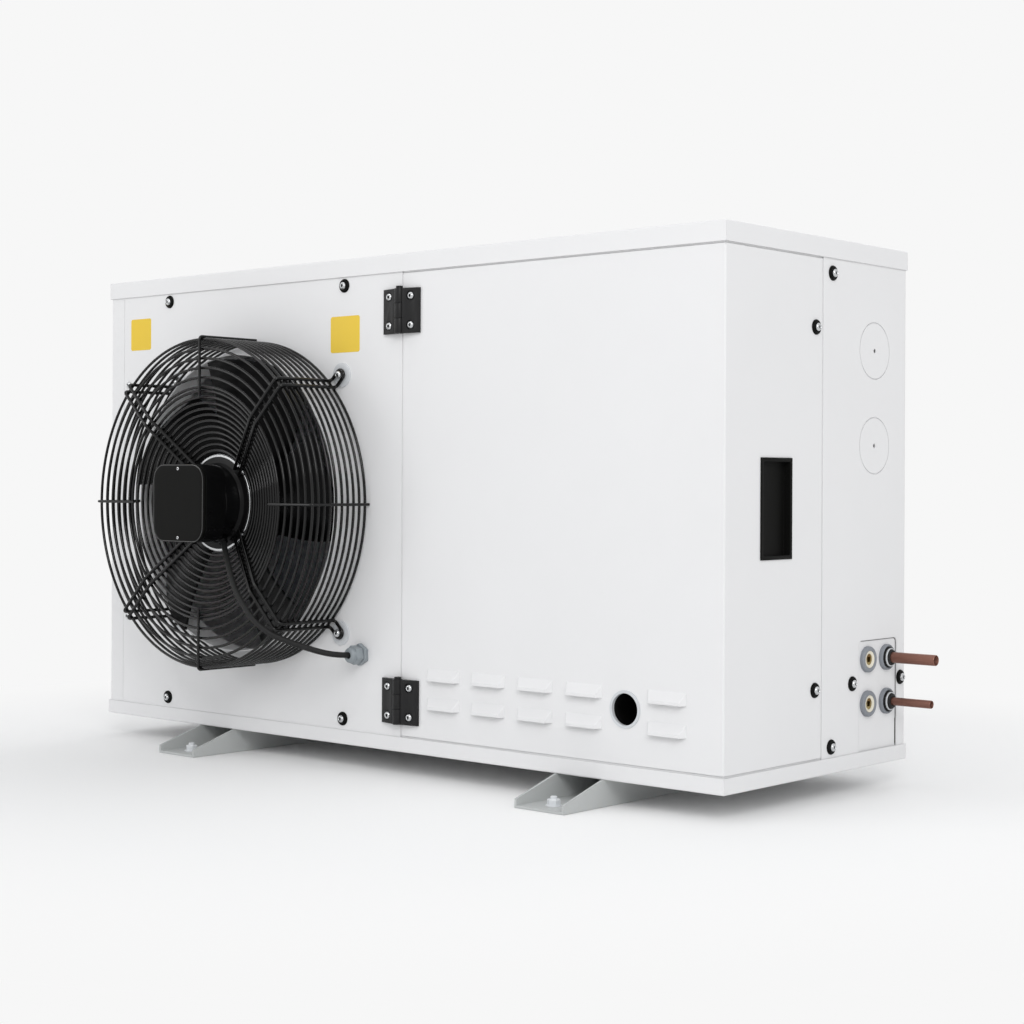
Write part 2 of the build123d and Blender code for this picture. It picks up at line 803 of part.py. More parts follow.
def guard_arms():
    """Four hairpin arms that carry the motor: up the basket side, over its face, down to the motor."""
    half = arm_pair_gap / 2
    wall_r = guard_r + (guard_wire + arm_wire) / 2 + weld_gap
    crest = arm_rise(arm_bend_r)
    low = ear_sheet + arm_wire / 2 + weld_gap
    profile = [(arm_end_r(), arm_rise(arm_end_r())), (arm_bend_r, crest), (wall_r, crest),
               (wall_r, low), (ear_r + half + arm_wire / 2, low)]
    points = [(r, half, d) for r, d in profile] + [(r, -half, d) for r, d in reversed(profile)]
    arm = wire_sweep(points, arm_wire, arm_wire / 2 + bend_margin)
    step = 360 / arm_count
    return group([fan_place * Rot(0, 0, step * (i + 0.5)) * arm for i in range(arm_count)])


def guard_stays():
    """Four single wires that tie the side rings to the face rings."""
    wall_r = guard_r + guard_wire + weld_gap
    crest = guard_front + guard_wire + weld_gap
    points = [(wall_r, 0, guard_start - guard_wire / 2), (wall_r, 0, crest),
              (wall_r - stay_reach, 0, crest)]
    stay = wire_sweep(points, guard_wire, guard_wire / 2 + bend_margin)
    step = 360 / stay_count
    return group([fan_place * Rot(0, 0, step * i) * stay for i in range(stay_count)])


def ear_places():
    """Fan-frame centres of the four guard fixings."""
    step = 360 / arm_count
    return [Rot(0, 0, step * (i + 0.5)) * Pos(ear_r, 0, 0) for i in range(arm_count)]


def guard_ears():
    """The zinc discs under the guard fixings."""
    disc = Cylinder(ear_disc_r, ear_sheet, align=(Align.CENTER, Align.CENTER, Align.MIN))
    disc -= Cylinder(screw_shank_r + hole_clearance, 4 * ear_sheet)
    return group([fan_place * place * disc for place in ear_places()])


def guard_ear_screws():
    """The screws that clamp each hairpin arm on its disc."""
    seat = ear_sheet + arm_wire + 2 * weld_gap
    piece = Pos(0, 0, seat) * screw(seat - fit)
    return [fan_place * place * piece for place in ear_places()]


# Fan motor

def motor_stator():
    """The fixed half of the motor: flange, neck with its lead boss, stator core and bearing bore."""
    core_low = flange_front - rotor_length + rotor_wall + 3 * rotor_gap
    stator = Pos(0, 0, flange_front - flange_thick) * Cylinder(
        flange_r, flange_thick, align=(Align.CENTER, Align.CENTER, Align.MIN))
    stator = chamfer(stator.edges().group_by(Axis.Z)[-1], flange_edge)
    stator += Pos(0, 0, flange_front) * Cylinder(
        neck_r, neck_length, align=(Align.CENTER, Align.CENTER, Align.MIN))
    start, ahead = cable_points()[:2]
    boss = Plane(origin=start, z_dir=Vector(*start) - Vector(*ahead)) * Circle(lead_boss_r)
    stator += extrude(boss, amount=neck_r / 2) - Cylinder(neck_r / 2, 4 * box_side)
    core = Pos(0, 0, core_low) * Cylinder(
        stator_r, flange_front - flange_thick - core_low,
        align=(Align.CENTER, Align.CENTER, Align.MIN))
    stator += core
    bore = Pos(0, 0, core_low) * Cylinder(
        shaft_r + shaft_tunnel_gap, flange_front - core_low - flange_thick / 2,
        align=(Align.CENTER, Align.CENTER, Align.MIN))
    stator -= bore
    for low in bearing_lows():
        stator -= Pos(0, 0, low) * Cylinder(
            bearing_r, bearing_width, align=(Align.CENTER, Align.CENTER, Align.MIN))
    return fan_place * stator


def bearing_lows():
    """Lower faces of the two bearings along the fan axis."""
    core_low = flange_front - rotor_length + rotor_wall + 3 * rotor_gap
    return (core_low, flange_front - flange_thick - 2 * bearing_width)


def motor_bearings():
    """The two bearings that carry the rotor shaft in the stator."""
    ring = Cylinder(bearing_r - weld_gap, bearing_width, align=(Align.CENTER, Align.CENTER, Align.MIN))
    ring -= Cylinder(shaft_r + shaft_clearance, 4 * bearing_width)
    return group([fan_place * Pos(0, 0, low) * ring for low in bearing_lows()])


def motor_terminal_box():
    """The rounded-square terminal housing on the front of the motor."""
    outline = RectangleRounded(box_side, box_side, box_corner_r)
    return fan_place * Pos(0, 0, flange_front + neck_length) * extrude(outline, amount=box_depth)


def terminal_box_cover():
    """The lid of the terminal housing, with a softened front edge."""
    outline = RectangleRounded(box_side, box_side, box_corner_r)
    cover = extrude(outline, amount=cover_thick)
    cover = chamfer(cover.edges().group_by(Axis.Z)[-1], cover_edge_r)
    return fan_place * Pos(0, 0, flange_front + neck_length + box_depth) * cover


def fan_rotor():
    """The external rotor: a cup round the stator, with the shaft fixed in its floor."""
    high = flange_front - flange_thick - rotor_gap
    low = flange_front - rotor_length
    cup = Pos(0, 0, low) * Cylinder(rotor_r, high - low, align=(Align.CENTER, Align.CENTER, Align.MIN))
    cup = chamfer(cup.edges().group_by(Axis.Z)[0], rotor_edge)
    cup -= Pos(0, 0, low + rotor_wall) * Cylinder(
        stator_r + rotor_gap, high - low, align=(Align.CENTER, Align.CENTER, Align.MIN))
    return fan_place * cup


def fan_shaft():
    """The shaft that turns with the rotor."""
    low = flange_front - rotor_length + rotor_wall
    high = flange_front - flange_thick - rotor_gap
    return fan_place * Pos(0, 0, low) * Cylinder(
        shaft_r, high - low, align=(Align.CENTER, Align.CENTER, Align.MIN))


def blade_section(distance, chord, pitch, lead):
    """One curved blade section on a plane across the blade, at a distance from the axis."""
    camber = chord * blade_camber
    half = chord / 2
    with BuildSketch() as section:
        with BuildLine():
            ThreePointArc((-half, 0), (0, camber), (half, 0))
            Line((half, 0), (half, -blade_sheet))
            ThreePointArc((half, -blade_sheet), (0, camber - blade_sheet), (-half, -blade_sheet))
            Line((-half, -blade_sheet), (-half, 0))
        make_face()
    plane = Plane(origin=(distance, lead, 0), x_dir=(0, 1, 0), z_dir=(1, 0, 0))
    return plane * Rot(0, 0, pitch) * section.sketch


def fan_impeller():
    """Five swept blades on a hub ring pressed over the rotor."""
    hub_r = rotor_r + hub_fit
    middle = flange_front - rotor_length + hub_length / 2 + hub_start
    blade = loft([blade_section(*section) for section in (blade_root, blade_middle, blade_tip)])
    blade_tip_r = blade_tip[0]
    blade &= Cylinder(blade_tip_r, 4 * hub_length) - Cylinder(hub_r + hub_wall / 2, 5 * hub_length)
    hub = Cylinder(hub_r + hub_wall, hub_length) - Cylinder(hub_r, 2 * hub_length)
    step = 360 / blade_count
    impeller = hub
    for i in range(blade_count):
        impeller += Rot(0, 0, step * i) * blade
    return fan_place * Pos(0, 0, middle) * impeller


# Motor cable and gland

def gland_centre():
    """Axis of the cable gland on the fan panel."""
    return x_left + gland_from_left, z_tray + gland_height


def cable_gland_body():
    """The gland's flange and threaded neck."""
    x, z = gland_centre()
    body = front_place(x, z, 0) * extrude(RegularPolygon(gland_hex / 2 + gland_flange_lip, 6),
                                          amount=gland_flange_height)
    return body - rod_y(cable_r + fit, x, face_y - 2 * gland_flange_height, face_y + over, z)


def cable_gland_nut():
    """The domed clamping nut of the gland."""
    x, z = gland_centre()
    low = gland_flange_height
    nut = Cylinder(gland_hex / 2, gland_nut_length, align=(Align.CENTER, Align.CENTER, Align.MIN))
    nut = chamfer(nut.edges().group_by(Axis.Z)[-1], gland_edge)
    nut -= Cylinder(cable_r + fit, 4 * gland_nut_length)
    return front_place(x, z, low) * nut


def cable_points():
    """The lead's route, in the fan's frame: from its boss, beside the lower right arm, to the gland."""
    x, z = gland_centre()
    dx, dz = x - fan_x, z - fan_z
    crest = guard_front + 3 * guard_wire + 2.0
    points = []
    for out, height in ((lead_boss_out, flange_front + lead_height), (108.0, crest - 6.0),
                        (arm_bend_r, crest + 4.0), (200.0, crest + 2.0)):
        reach = out * math.sqrt(0.5)
        points.append((reach - lead_offset, -reach - lead_offset, height))
    seat = gland_flange_height + gland_nut_length
    return points + [(dx - 22, dz + 6, seat + 34), (dx, dz, seat + 8), (dx, dz, gland_seat)]


def motor_cable():
    """The motor lead, from its boss on the motor to the gland."""
    path = FilletPolyline(*cable_points(), radius=[40, 60, 40, 40, 11])
    cable = sweep(Plane(origin=path @ 0, z_dir=path % 0) * Circle(cable_r), path=path)
    return fan_place * cable


# Condenser coil

def coil_bounds():
    """Box of the finned pack in the fan bay."""
    x0 = left_x + coil_side_gap
    x1 = divider_x - sheet - coil_side_gap
    y1 = y_back - coil_from_rear
    return x0, x1, y1 - coil_depth, y1


def coil_tube_zs():
    """Heights of the coil tubes."""
    count = int((z_ceiling - z_floor - coil_tube_pitch) // coil_tube_pitch)
    start = (z_floor + z_ceiling - count * coil_tube_pitch) / 2
    return [start + i * coil_tube_pitch for i in range(count + 1)]


def coil_tube_ys():
    """Depths of the coil tube rows."""
    middle = y_back - coil_from_rear - coil_depth / 2
    return [middle - coil_row_pitch / 2, middle + coil_row_pitch / 2]


def condenser_fins():
    """The finned pack."""
    x0, x1, y0, y1 = coil_bounds()
    return block(x0, x1, y0, y1, z_floor, z_ceiling)


def coil_end_plates():
    """The plates at both ends of the pack, flanged towards the rear."""
    x0, x1, y0, y1 = coil_bounds()
    plates = []
    for x, out in ((x0, -1), (x1, 1)):
        a, b = min(x, x + out * coil_plate_sheet), max(x, x + out * coil_plate_sheet)
        plate = block(a, b, y0, rear_y - sheet, z_floor, z_ceiling)
        for y in coil_tube_ys():
            for z in coil_tube_zs():
                plate -= rod_x(coil_tube_r + weld_gap, a - over, b + over, y, z)
        plates.append(plate)
    return group(plates)


def coil_return_bends():
    """The U-bends that join the coil tubes outside the left end plate."""
    x0, x1, y0, y1 = coil_bounds()
    ya, yb = coil_tube_ys()
    out_x = x0 - coil_bend_reach
    bends = []
    for z in coil_tube_zs():
        points = [(x0, ya, z), (out_x, ya, z), (out_x, yb, z), (x0, yb, z)]
        bends.append(tube(points, coil_tube_r, coil_bend_r))
    return group(bends)


def coil_pipe_places():
    """Where the hot-gas pipe and the condensate pipe pass through the divider."""
    zs = coil_tube_zs()
    return [(coil_tube_ys()[0], zs[-1]), (coil_tube_ys()[0], zs[0])]


# Service bay: compressor, receiver, drier, sight glass and pipes

compressor_x = seam_x + compressor_from_seam
plate_z = z_floor + mount_height
shell_z = plate_z + foot_plate_thick
receiver_x = seam_x + receiver_from_seam
receiver_z0 = z_floor + receiver_lift
receiver_z1 = receiver_z0 + receiver_height
sight_glass_y = face_y + sight_glass_back
drier_z0 = z_tray + drier_bottom
drier_z1 = drier_z0 + drier_length


def pressure_shell(radius, height, knuckle):
    """A welded shell with dished ends, standing on the origin."""
    crown_r = dish_ratio * radius
    centre_r = radius - knuckle
    crown_z = height - crown_r
    knuckle_z = crown_z + math.sqrt((crown_r - knuckle) ** 2 - centre_r ** 2)
    turn = math.atan2(knuckle_z - crown_z, centre_r)

    def on_arc(x, z, size, angle):
        return (x + size * math.cos(angle), z + size * math.sin(angle))

    wall = (radius, knuckle_z)
    bend = on_arc(centre_r, knuckle_z, knuckle, turn / 2)
    joint = on_arc(centre_r, knuckle_z, knuckle, turn)
    crown = on_arc(0, crown_z, crown_r, (turn + math.pi / 2) / 2)
    top = (0, height)

    def low(point):
        return (point[0], height - point[1])

    with BuildSketch(Plane.XZ) as section:
        with BuildLine():
            ThreePointArc(low(top), low(crown), low(joint))
            ThreePointArc(low(joint), low(bend), low(wall))
            Line(low(wall), wall)
            ThreePointArc(wall, bend, joint)
            ThreePointArc(joint, crown, top)
            Line(top, low(top))
        make_face()
    return revolve(section.sketch, Axis.Z)


def compressor():
    """The hermetic compressor: shell with belt seam, welded to its foot plate."""
    shell = Pos(compressor_x, compressor_y, shell_z) * pressure_shell(
        compressor_r, compressor_height, compressor_knuckle)
    shell += rod_z(shell_skirt_r, compressor_x, compressor_y, plate_z, shell_z + compressor_knuckle)
    belt_z = shell_z + belt_height
    shell += rod_z(compressor_r + belt_proud, compressor_x, compressor_y, belt_z, belt_z + belt_width)
    return shell + compressor_foot_plate()


def mount_places():
    """Centres of the four compressor mounts."""
    dx = foot_plate_width / 2 - mount_inset
    dy = foot_plate_depth / 2 - mount_inset
    return [(compressor_x + i * dx, compressor_y + j * dy) for i in (-1, 1) for j in (-1, 1)]


def compressor_foot_plate():
    """The plate under the compressor."""
    plate = Pos(compressor_x, compressor_y, plate_z) * extrude(
        RectangleRounded(foot_plate_width, foot_plate_depth, mount_inset), amount=foot_plate_thick)
    for x, y in mount_places():
        plate -= rod_z(mount_bolt_r + hole_clearance, x, y, plate_z - over, shell_z + over)
    return plate


def compressor_mounts():
    """The four rubber mounts between the tray and the foot plate."""
    mounts = []
    for x, y in mount_places():
        mount = rod_z(mount_r, x, y, z_floor, plate_z)
        mount -= rod_z(mount_bolt_r + hole_clearance, x, y, z_floor - over, plate_z + over)
        mounts.append(mount)
    return group(mounts)


def compressor_bolts():
    """The four bolts through the mounts."""
    bolts = []
    for x, y in mount_places():
        bolt = rod_z(mount_bolt_r, x, y, z_floor, shell_z)
        head = Pos(x, y, shell_z) * extrude(RegularPolygon(2 * mount_bolt_r, 6), amount=bolt_head_height)
        bolts.append(bolt + head)
    return group(bolts)


def compressor_terminal_cover():
    """The cover over the compressor's terminals."""
    y0 = compressor_y - compressor_r - terminal_proud
    z0 = shell_z + terminal_height
    z1 = z0 + terminal_tall
    half = terminal_width / 2
    cover = block(compressor_x - half, compressor_x + half, y0, compressor_y, z0, z1)
    cover = fillet(cover.edges().filter_by(Axis.Y), terminal_edge)
    return cover - rod_z(compressor_r + weld_gap, compressor_x, compressor_y, z0 - over, z1 + over)


def liquid_receiver():
    """The upright liquid receiver, welded to its foot ring and base disc."""
    shell = Pos(receiver_x, receiver_y, receiver_z0) * pressure_shell(
        receiver_r, receiver_height, receiver_knuckle)
    foot = rod_z(receiver_disc_r, receiver_x, receiver_y, z_floor, z_floor + receiver_disc_thick)
    shell += rod_z(receiver_foot_r, receiver_x, receiver_y, z_floor, receiver_z0 + receiver_knuckle)
    outlet_x = receiver_x + outlet_offset
    outlet = rod_z(liquid_pipe_r + pipe_boss, outlet_x, receiver_y, receiver_z1 - receiver_knuckle,
                   receiver_z1 + pipe_boss)
    return shell + foot + outlet


def drier_body():
    """The filter drier: a can with coned ends."""
    with BuildSketch(Plane.XZ) as section:
        with BuildLine():
            neck = liquid_pipe_r + drier_neck
            Polyline((0, 0), (neck, 0), (drier_r, drier_cone), (drier_r, drier_length - drier_cone),
                     (neck, drier_length), (0, drier_length), close=True)
        make_face()
    return Pos(sight_x, sight_glass_y, drier_z0) * revolve(section.sketch, Axis.Z)


def sight_glass():
    """The liquid sight glass behind the sight hole, with its window towards the front."""
    half = sight_glass_length / 2
    front = sight_glass_y - sight_glass_r
    body = rod_z(liquid_pipe_r + sight_glass_wall, sight_x, sight_glass_y, sight_z - half,
                 sight_z + half)
    body += rod_y(sight_glass_r, sight_x, front, sight_glass_y + sight_glass_rear, sight_z)
    return body - rod_y(sight_glass_r - sight_glass_wall, sight_x, front - over,
                        front + sight_window_depth, sight_z)


def discharge_line():
    """Hot gas from the compressor through the divider into the coil."""
    y, z = coil_pipe_places()[0]
    x1 = coil_bounds()[1]
    port_z = shell_z + discharge_height
    side_x = compressor_x - compressor_r
    rise_x = (side_x + divider_x) / 2
    points = [(side_x, compressor_y, port_z), (rise_x, compressor_y, port_z),
              (rise_x, compressor_y, z), (rise_x, y - discharge_back, z),
              (rise_x - discharge_jog, y, z), (x1, y, z)]
    return tube(points, coil_tube_r, list(discharge_bends))


def condensate_line():
    """Liquid from the foot of the coil to the receiver."""
    y, z = coil_pipe_places()[1]
    x1 = coil_bounds()[1]
    run_x = divider_x + condensate_aside
    inlet = receiver_x - receiver_r
    points = [(x1, y, z), (run_x, y, z), (run_x, receiver_y, z), (inlet, receiver_y, z)]
    return tube(points, coil_tube_r, pipe_bend_r)


def valve_back_x():
    """Rear end of the valve blocks."""
    return plate_x - plate_sheet - valve_block_length - fit


def suction_line():
    """Return gas from the upper service valve to the compressor."""
    z = valve_zs[1]
    port_z = shell_z + suction_height
    side_x = compressor_x + compressor_r
    rise_x = side_x + suction_aside
    points = [(valve_back_x(), stub_y, z), (rise_x, stub_y, z), (rise_x, stub_y, port_z),
              (rise_x, compressor_y, port_z), (side_x, compressor_y, port_z)]
    return tube(points, suction_pipe_r, suction_bend_r)


def liquid_line():
    """Liquid from the receiver through drier and sight glass to the lower service valve."""
    over_z = max(receiver_z1, drier_z1) + pipe_over
    half = sight_glass_length / 2
    low_z = sight_z - half - pipe_under
    run_x = sight_x + pipe_aside
    outlet_x = receiver_x + outlet_offset
    first = tube([(outlet_x, receiver_y, receiver_z1 + pipe_boss), (outlet_x, receiver_y, over_z),
                  (sight_x, sight_glass_y, over_z), (sight_x, sight_glass_y, drier_z1)],
                 liquid_pipe_r, liquid_bend_r)
    second = rod_z(liquid_pipe_r, sight_x, sight_glass_y, sight_z + half, drier_z0)
    third = tube([(sight_x, sight_glass_y, sight_z - half), (sight_x, sight_glass_y, low_z),
                  (run_x, sight_glass_y, low_z), (run_x, stub_y, low_z),
                  (run_x, stub_y, valve_zs[0]), (valve_back_x(), stub_y, valve_zs[0])],
                 liquid_pipe_r, pipe_bend_r)
    return group([first, second, third])


# Service valves

def valve_body(z, pipe_r):
    """A brass valve block with a stem bore and a pipe port, side by side."""
    x0, x1 = valve_back_x(), plate_x - plate_sheet - fit
    half = valve_block_height / 2
    body = block(x0, x1, stem_y - valve_block_margin, stub_y + valve_block_margin, z - half, z + half)
    body = chamfer(body.edges().filter_by(Axis.X), valve_edge)
    body -= rod_x(stem_r + shaft_clearance, x1 - stem_length, x1 + over, stem_y, z)
    return body - rod_x(pipe_r - stub_neck + weld_gap, x1 - port_depth, x1 + over, stub_y, z)


def valve_spindle(z):
    """The quarter-turn spindle with a square socket in its end."""
    x1 = plate_x - plate_sheet - fit
    out = right_x + stem_proud
    stem = rod_x(stem_r, x1 - stem_length + fit, out, stem_y, z)
    half = stem_square / 2
    return stem - block(out - stem_square, out + over, stem_y - half, stem_y + half, z - half, z + half)


def pipe_stub(z, pipe_r, length):
    """A copper tail: its drawn-down end sits in the valve, and its full-size end is left free."""
    port_x = plate_x - plate_sheet - fit - port_depth
    free_x = plate_x + grommet_thick + 2 * sleeve_step + stub_clear
    out = x_right + length
    tail = rod_x(pipe_r, free_x, out, stub_y, z)
    tail += rod_x(pipe_r - stub_neck, port_x + fit, free_x, stub_y, z)
    return tail - rod_x(pipe_r - pipe_wall, port_x, out + weld_gap, stub_y, z)


def grommet(y, z, bore):
    """A rubber grommet: a rounded collar outside and a neck through the plate."""
    collar = rod_x(grommet_r, plate_x, plate_x + grommet_thick, y, z)
    collar = chamfer(collar.edges().group_by(Axis.X)[-1], grommet_edge)
    neck = rod_x(grommet_r - 2 * grommet_neck - weld_gap, plate_x - plate_sheet, plate_x, y, z)
    return collar + neck - rod_x(bore, plate_x - 4 * plate_sheet, plate_x + 4 * grommet_thick, y, z)


def pipe_grommet(z, pipe_r):
    """A grommet with a stepped sleeve that stands out round a copper tail."""
    bore = pipe_r - stub_neck + weld_gap
    low = plate_x + grommet_thick
    high = low + 2 * sleeve_step
    sleeve = rod_x(sleeve_r, low, low + sleeve_step, stub_y, z)
    sleeve += rod_x(sleeve_r - sleeve_step, low + sleeve_step, high, stub_y, z)
    return grommet(stub_y, z, bore) + (sleeve - rod_x(bore, low - over, high + over, stub_y, z))


def valve_grommets():
    """The grommets round the two valve spindles and the two copper tails."""
    stems = [grommet(stem_y, z, stem_r + fit) for z in valve_zs]
    return group(stems + [pipe_grommet(z, pipe_r) for z, pipe_r in zip(valve_zs, valve_pipe_rs)])


# Controls

ebox_x0 = divider_x
ebox_x1 = ebox_x0 + ebox_width
ebox_y0 = face_y + ebox_from_front
ebox_y1 = ebox_y0 + ebox_depth
ebox_z1 = z_ceiling - ebox_top_gap
ebox_z0 = ebox_z1 - ebox_height
switch_x0 = ebox_x1
switch_y0 = ebox_y0 + switch_place[0]
switch_z0 = ebox_z0 + switch_place[1]


def electrical_box():
    """The open-fronted box for the electrical parts, fixed to the divider."""
    outer = block(ebox_x0, ebox_x1, ebox_y0, ebox_y1, ebox_z0, ebox_z1)
    inner = block(ebox_x0 + sheet, ebox_x1 - sheet, ebox_y0, ebox_y1 - sheet,
                  ebox_z0 + sheet, ebox_z1 - sheet)
    return outer - inner


def contactor():
    """The compressor contactor."""
    width, depth, height = contactor_size
    x0 = ebox_x0 + contactor_place[0]
    y1 = ebox_y1 - sheet
    z0 = ebox_z0 + contactor_place[1]
    z1 = z0 + height
    body = block(x0, x0 + width, y1 - depth, y1, z0, z1)
    body -= block(x0, x0 + width, y1 - depth, y1 - depth / 2, z1 - contactor_step, z1)
    return body - block(x0, x0 + width, y1 - depth, y1 - depth / 2, z0, z0 + contactor_step)


def run_capacitor():
    """The capacitor can beside the contactor."""
    x = ebox_x0 + contactor_place[0] + contactor_size[0] + capacitor_from_contactor
    y = ebox_y1 - sheet - capacitor_from_back
    return rod_z(capacitor_r, x, y, ebox_z0 + sheet, ebox_z0 + capacitor_top)


def pressure_switch():
    """The high-pressure switch on the end of the electrical box, with a bore for its button."""
    width, depth, height = switch_size
    body = block(switch_x0, switch_x0 + width, switch_y0, switch_y0 + depth, switch_z0,
                 switch_z0 + height)
    x, z = button_centre()
    return body - rod_y(button_r + button_clearance, x, switch_y0 - over,
                        switch_y0 + button_length - button_proud + button_travel + fit, z)


def button_centre():
    """Axis of the reset button."""
    return switch_x0 + switch_size[0] / 2, switch_z0 + button_height


def reset_button():
    """The push-to-reset button of the pressure switch."""
    x, z = button_centre()
    y0 = switch_y0 - button_proud
    return rod_y(button_r, x, y0, y0 + button_length, z)


def build_nodes():
    """Every sub-part by its node name."""
    liquid_z, suction_z = valve_zs
    return {
        "foot_rail_left": foot_rail(-rail_spacing / 2),
        "foot_rail_right": foot_rail(rail_spacing / 2),
        "base_tray": base_tray(),
        "lid": lid(),
        "fan_panel": fan_panel(),
        "left_side_panel": left_side_panel(),
        "service_side_panel": service_side_panel(),
        "valve_plate": valve_plate(),
        "divider_panel": divider_panel(),
        "rear_panel": rear_panel(),
        "door_panel": door_panel(),
        "door_seal": door_seal(),
        "sight_hole_trim": sight_hole_trim(),
        "recess_handle": recess_handle(),
        "hinge_leaves_fixed": hinge_leaf_pair(-1),
        "hinge_leaves_door": hinge_leaf_pair(1),
        "hinge_pins": hinge_pins(),
        "panel_screws": panel_screws(),
        "panel_washers": panel_washers(),
        "door_screws": door_screws(),
        "door_washers": door_washers(),
        "guard_rings": guard_rings(),
        "guard_arms": guard_arms(),
        "guard_stays": guard_stays(),
        "guard_ears": guard_ears(),
        "motor_stator": motor_stator(),
        "motor_bearings": motor_bearings(),
        "motor_terminal_box": motor_terminal_box(),
        "terminal_box_cover": terminal_box_cover(),
        "fan_rotor": fan_rotor(),
        "fan_shaft": fan_shaft(),
        "fan_impeller": fan_impeller(),
        "cable_gland_body": cable_gland_body(),
        "cable_gland_nut": cable_gland_nut(),
        "motor_cable": motor_cable(),
        "condenser_fins": condenser_fins(),
        "coil_end_plates": coil_end_plates(),
        "coil_return_bends": coil_return_bends(),
        "compressor": compressor(),
        "compressor_mounts": compressor_mounts(),
        "compressor_bolts": compressor_bolts(),
        "compressor_terminal_cover": compressor_terminal_cover(),
        "liquid_receiver": liquid_receiver(),
        "filter_drier": drier_body(),
        "sight_glass": sight_glass(),
        "discharge_line": discharge_line(),
        "condensate_line": condensate_line(),
        "suction_line": suction_line(),
        "liquid_line": liquid_line(),
        "suction_valve": valve_body(suction_z, suction_pipe_r),
        "liquid_valve": valve_body(liquid_z, liquid_pipe_r),
        "suction_spindle": valve_spindle(suction_z),
        "liquid_spindle": valve_spindle(liquid_z),
        "pipe_stubs": group([pipe_stub(liquid_z, liquid_pipe_r, liquid_stub_out),
                             pipe_stub(suction_z, suction_pipe_r, suction_stub_out)]),
        "valve_grommets": valve_grommets(),
        "electrical_box": electrical_box(),
        "contactor": contactor(),
        "run_capacitor": run_capacitor(),
        "pressure_switch": pressure_switch(),
        "reset_button": reset_button(),
    }


nodes = build_nodes()
os.makedirs("parts", exist_ok=True)
for name, shape in nodes.items():
    export_step(shape, f"parts/{name}.step")
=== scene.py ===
import math
import bpy
import bmesh
from mathutils import Matrix, Vector


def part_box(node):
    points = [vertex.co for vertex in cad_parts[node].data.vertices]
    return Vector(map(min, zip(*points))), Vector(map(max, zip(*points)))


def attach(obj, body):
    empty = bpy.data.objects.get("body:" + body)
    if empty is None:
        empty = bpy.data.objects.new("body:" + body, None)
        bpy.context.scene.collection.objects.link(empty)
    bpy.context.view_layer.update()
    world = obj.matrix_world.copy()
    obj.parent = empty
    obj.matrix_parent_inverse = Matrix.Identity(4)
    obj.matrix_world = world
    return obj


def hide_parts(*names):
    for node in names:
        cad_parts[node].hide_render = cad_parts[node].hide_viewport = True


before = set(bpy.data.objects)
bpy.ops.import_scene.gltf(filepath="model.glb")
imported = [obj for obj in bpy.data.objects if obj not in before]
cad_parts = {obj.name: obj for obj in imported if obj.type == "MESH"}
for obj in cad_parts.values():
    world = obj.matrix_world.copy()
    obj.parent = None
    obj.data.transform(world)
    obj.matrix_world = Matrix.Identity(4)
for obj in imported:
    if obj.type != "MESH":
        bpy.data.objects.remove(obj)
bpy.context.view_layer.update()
print("frame loaded:", len(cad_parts), "nodes")

# places read from the frame, in metres
fanLow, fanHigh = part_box("fan_rotor")
fanX = (fanLow.x + fanHigh.x) / 2
fanZ = (fanLow.z + fanHigh.z) / 2
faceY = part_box("hinge_leaves_door")[1].y  # outer face of the front panels
handleProud = 0.0015                      # how far the handle stands out of the right end
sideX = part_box("recess_handle")[1].x - handleProud
fanPlace = Matrix.Translation((fanX, faceY, fanZ)) @ Matrix.Rotation(math.pi / 2, 4, "X")


# materials

def newMaterial(name):
    material = bpy.data.materials.new(name)
    material.use_nodes = True
    nodes = material.node_tree.nodes
    shader = nodes["Principled BSDF"]
    return material, nodes, material.node_tree.links, shader


texture = {"fineDetail": 3.0, "broadScale": 9.0, "broadDetail": 4.0, "toneStart": 0.3, "toneEnd": 0.7,
           "reliefDepth": 0.0006, "bevelSamples": 4, "leastRough": 0.02}


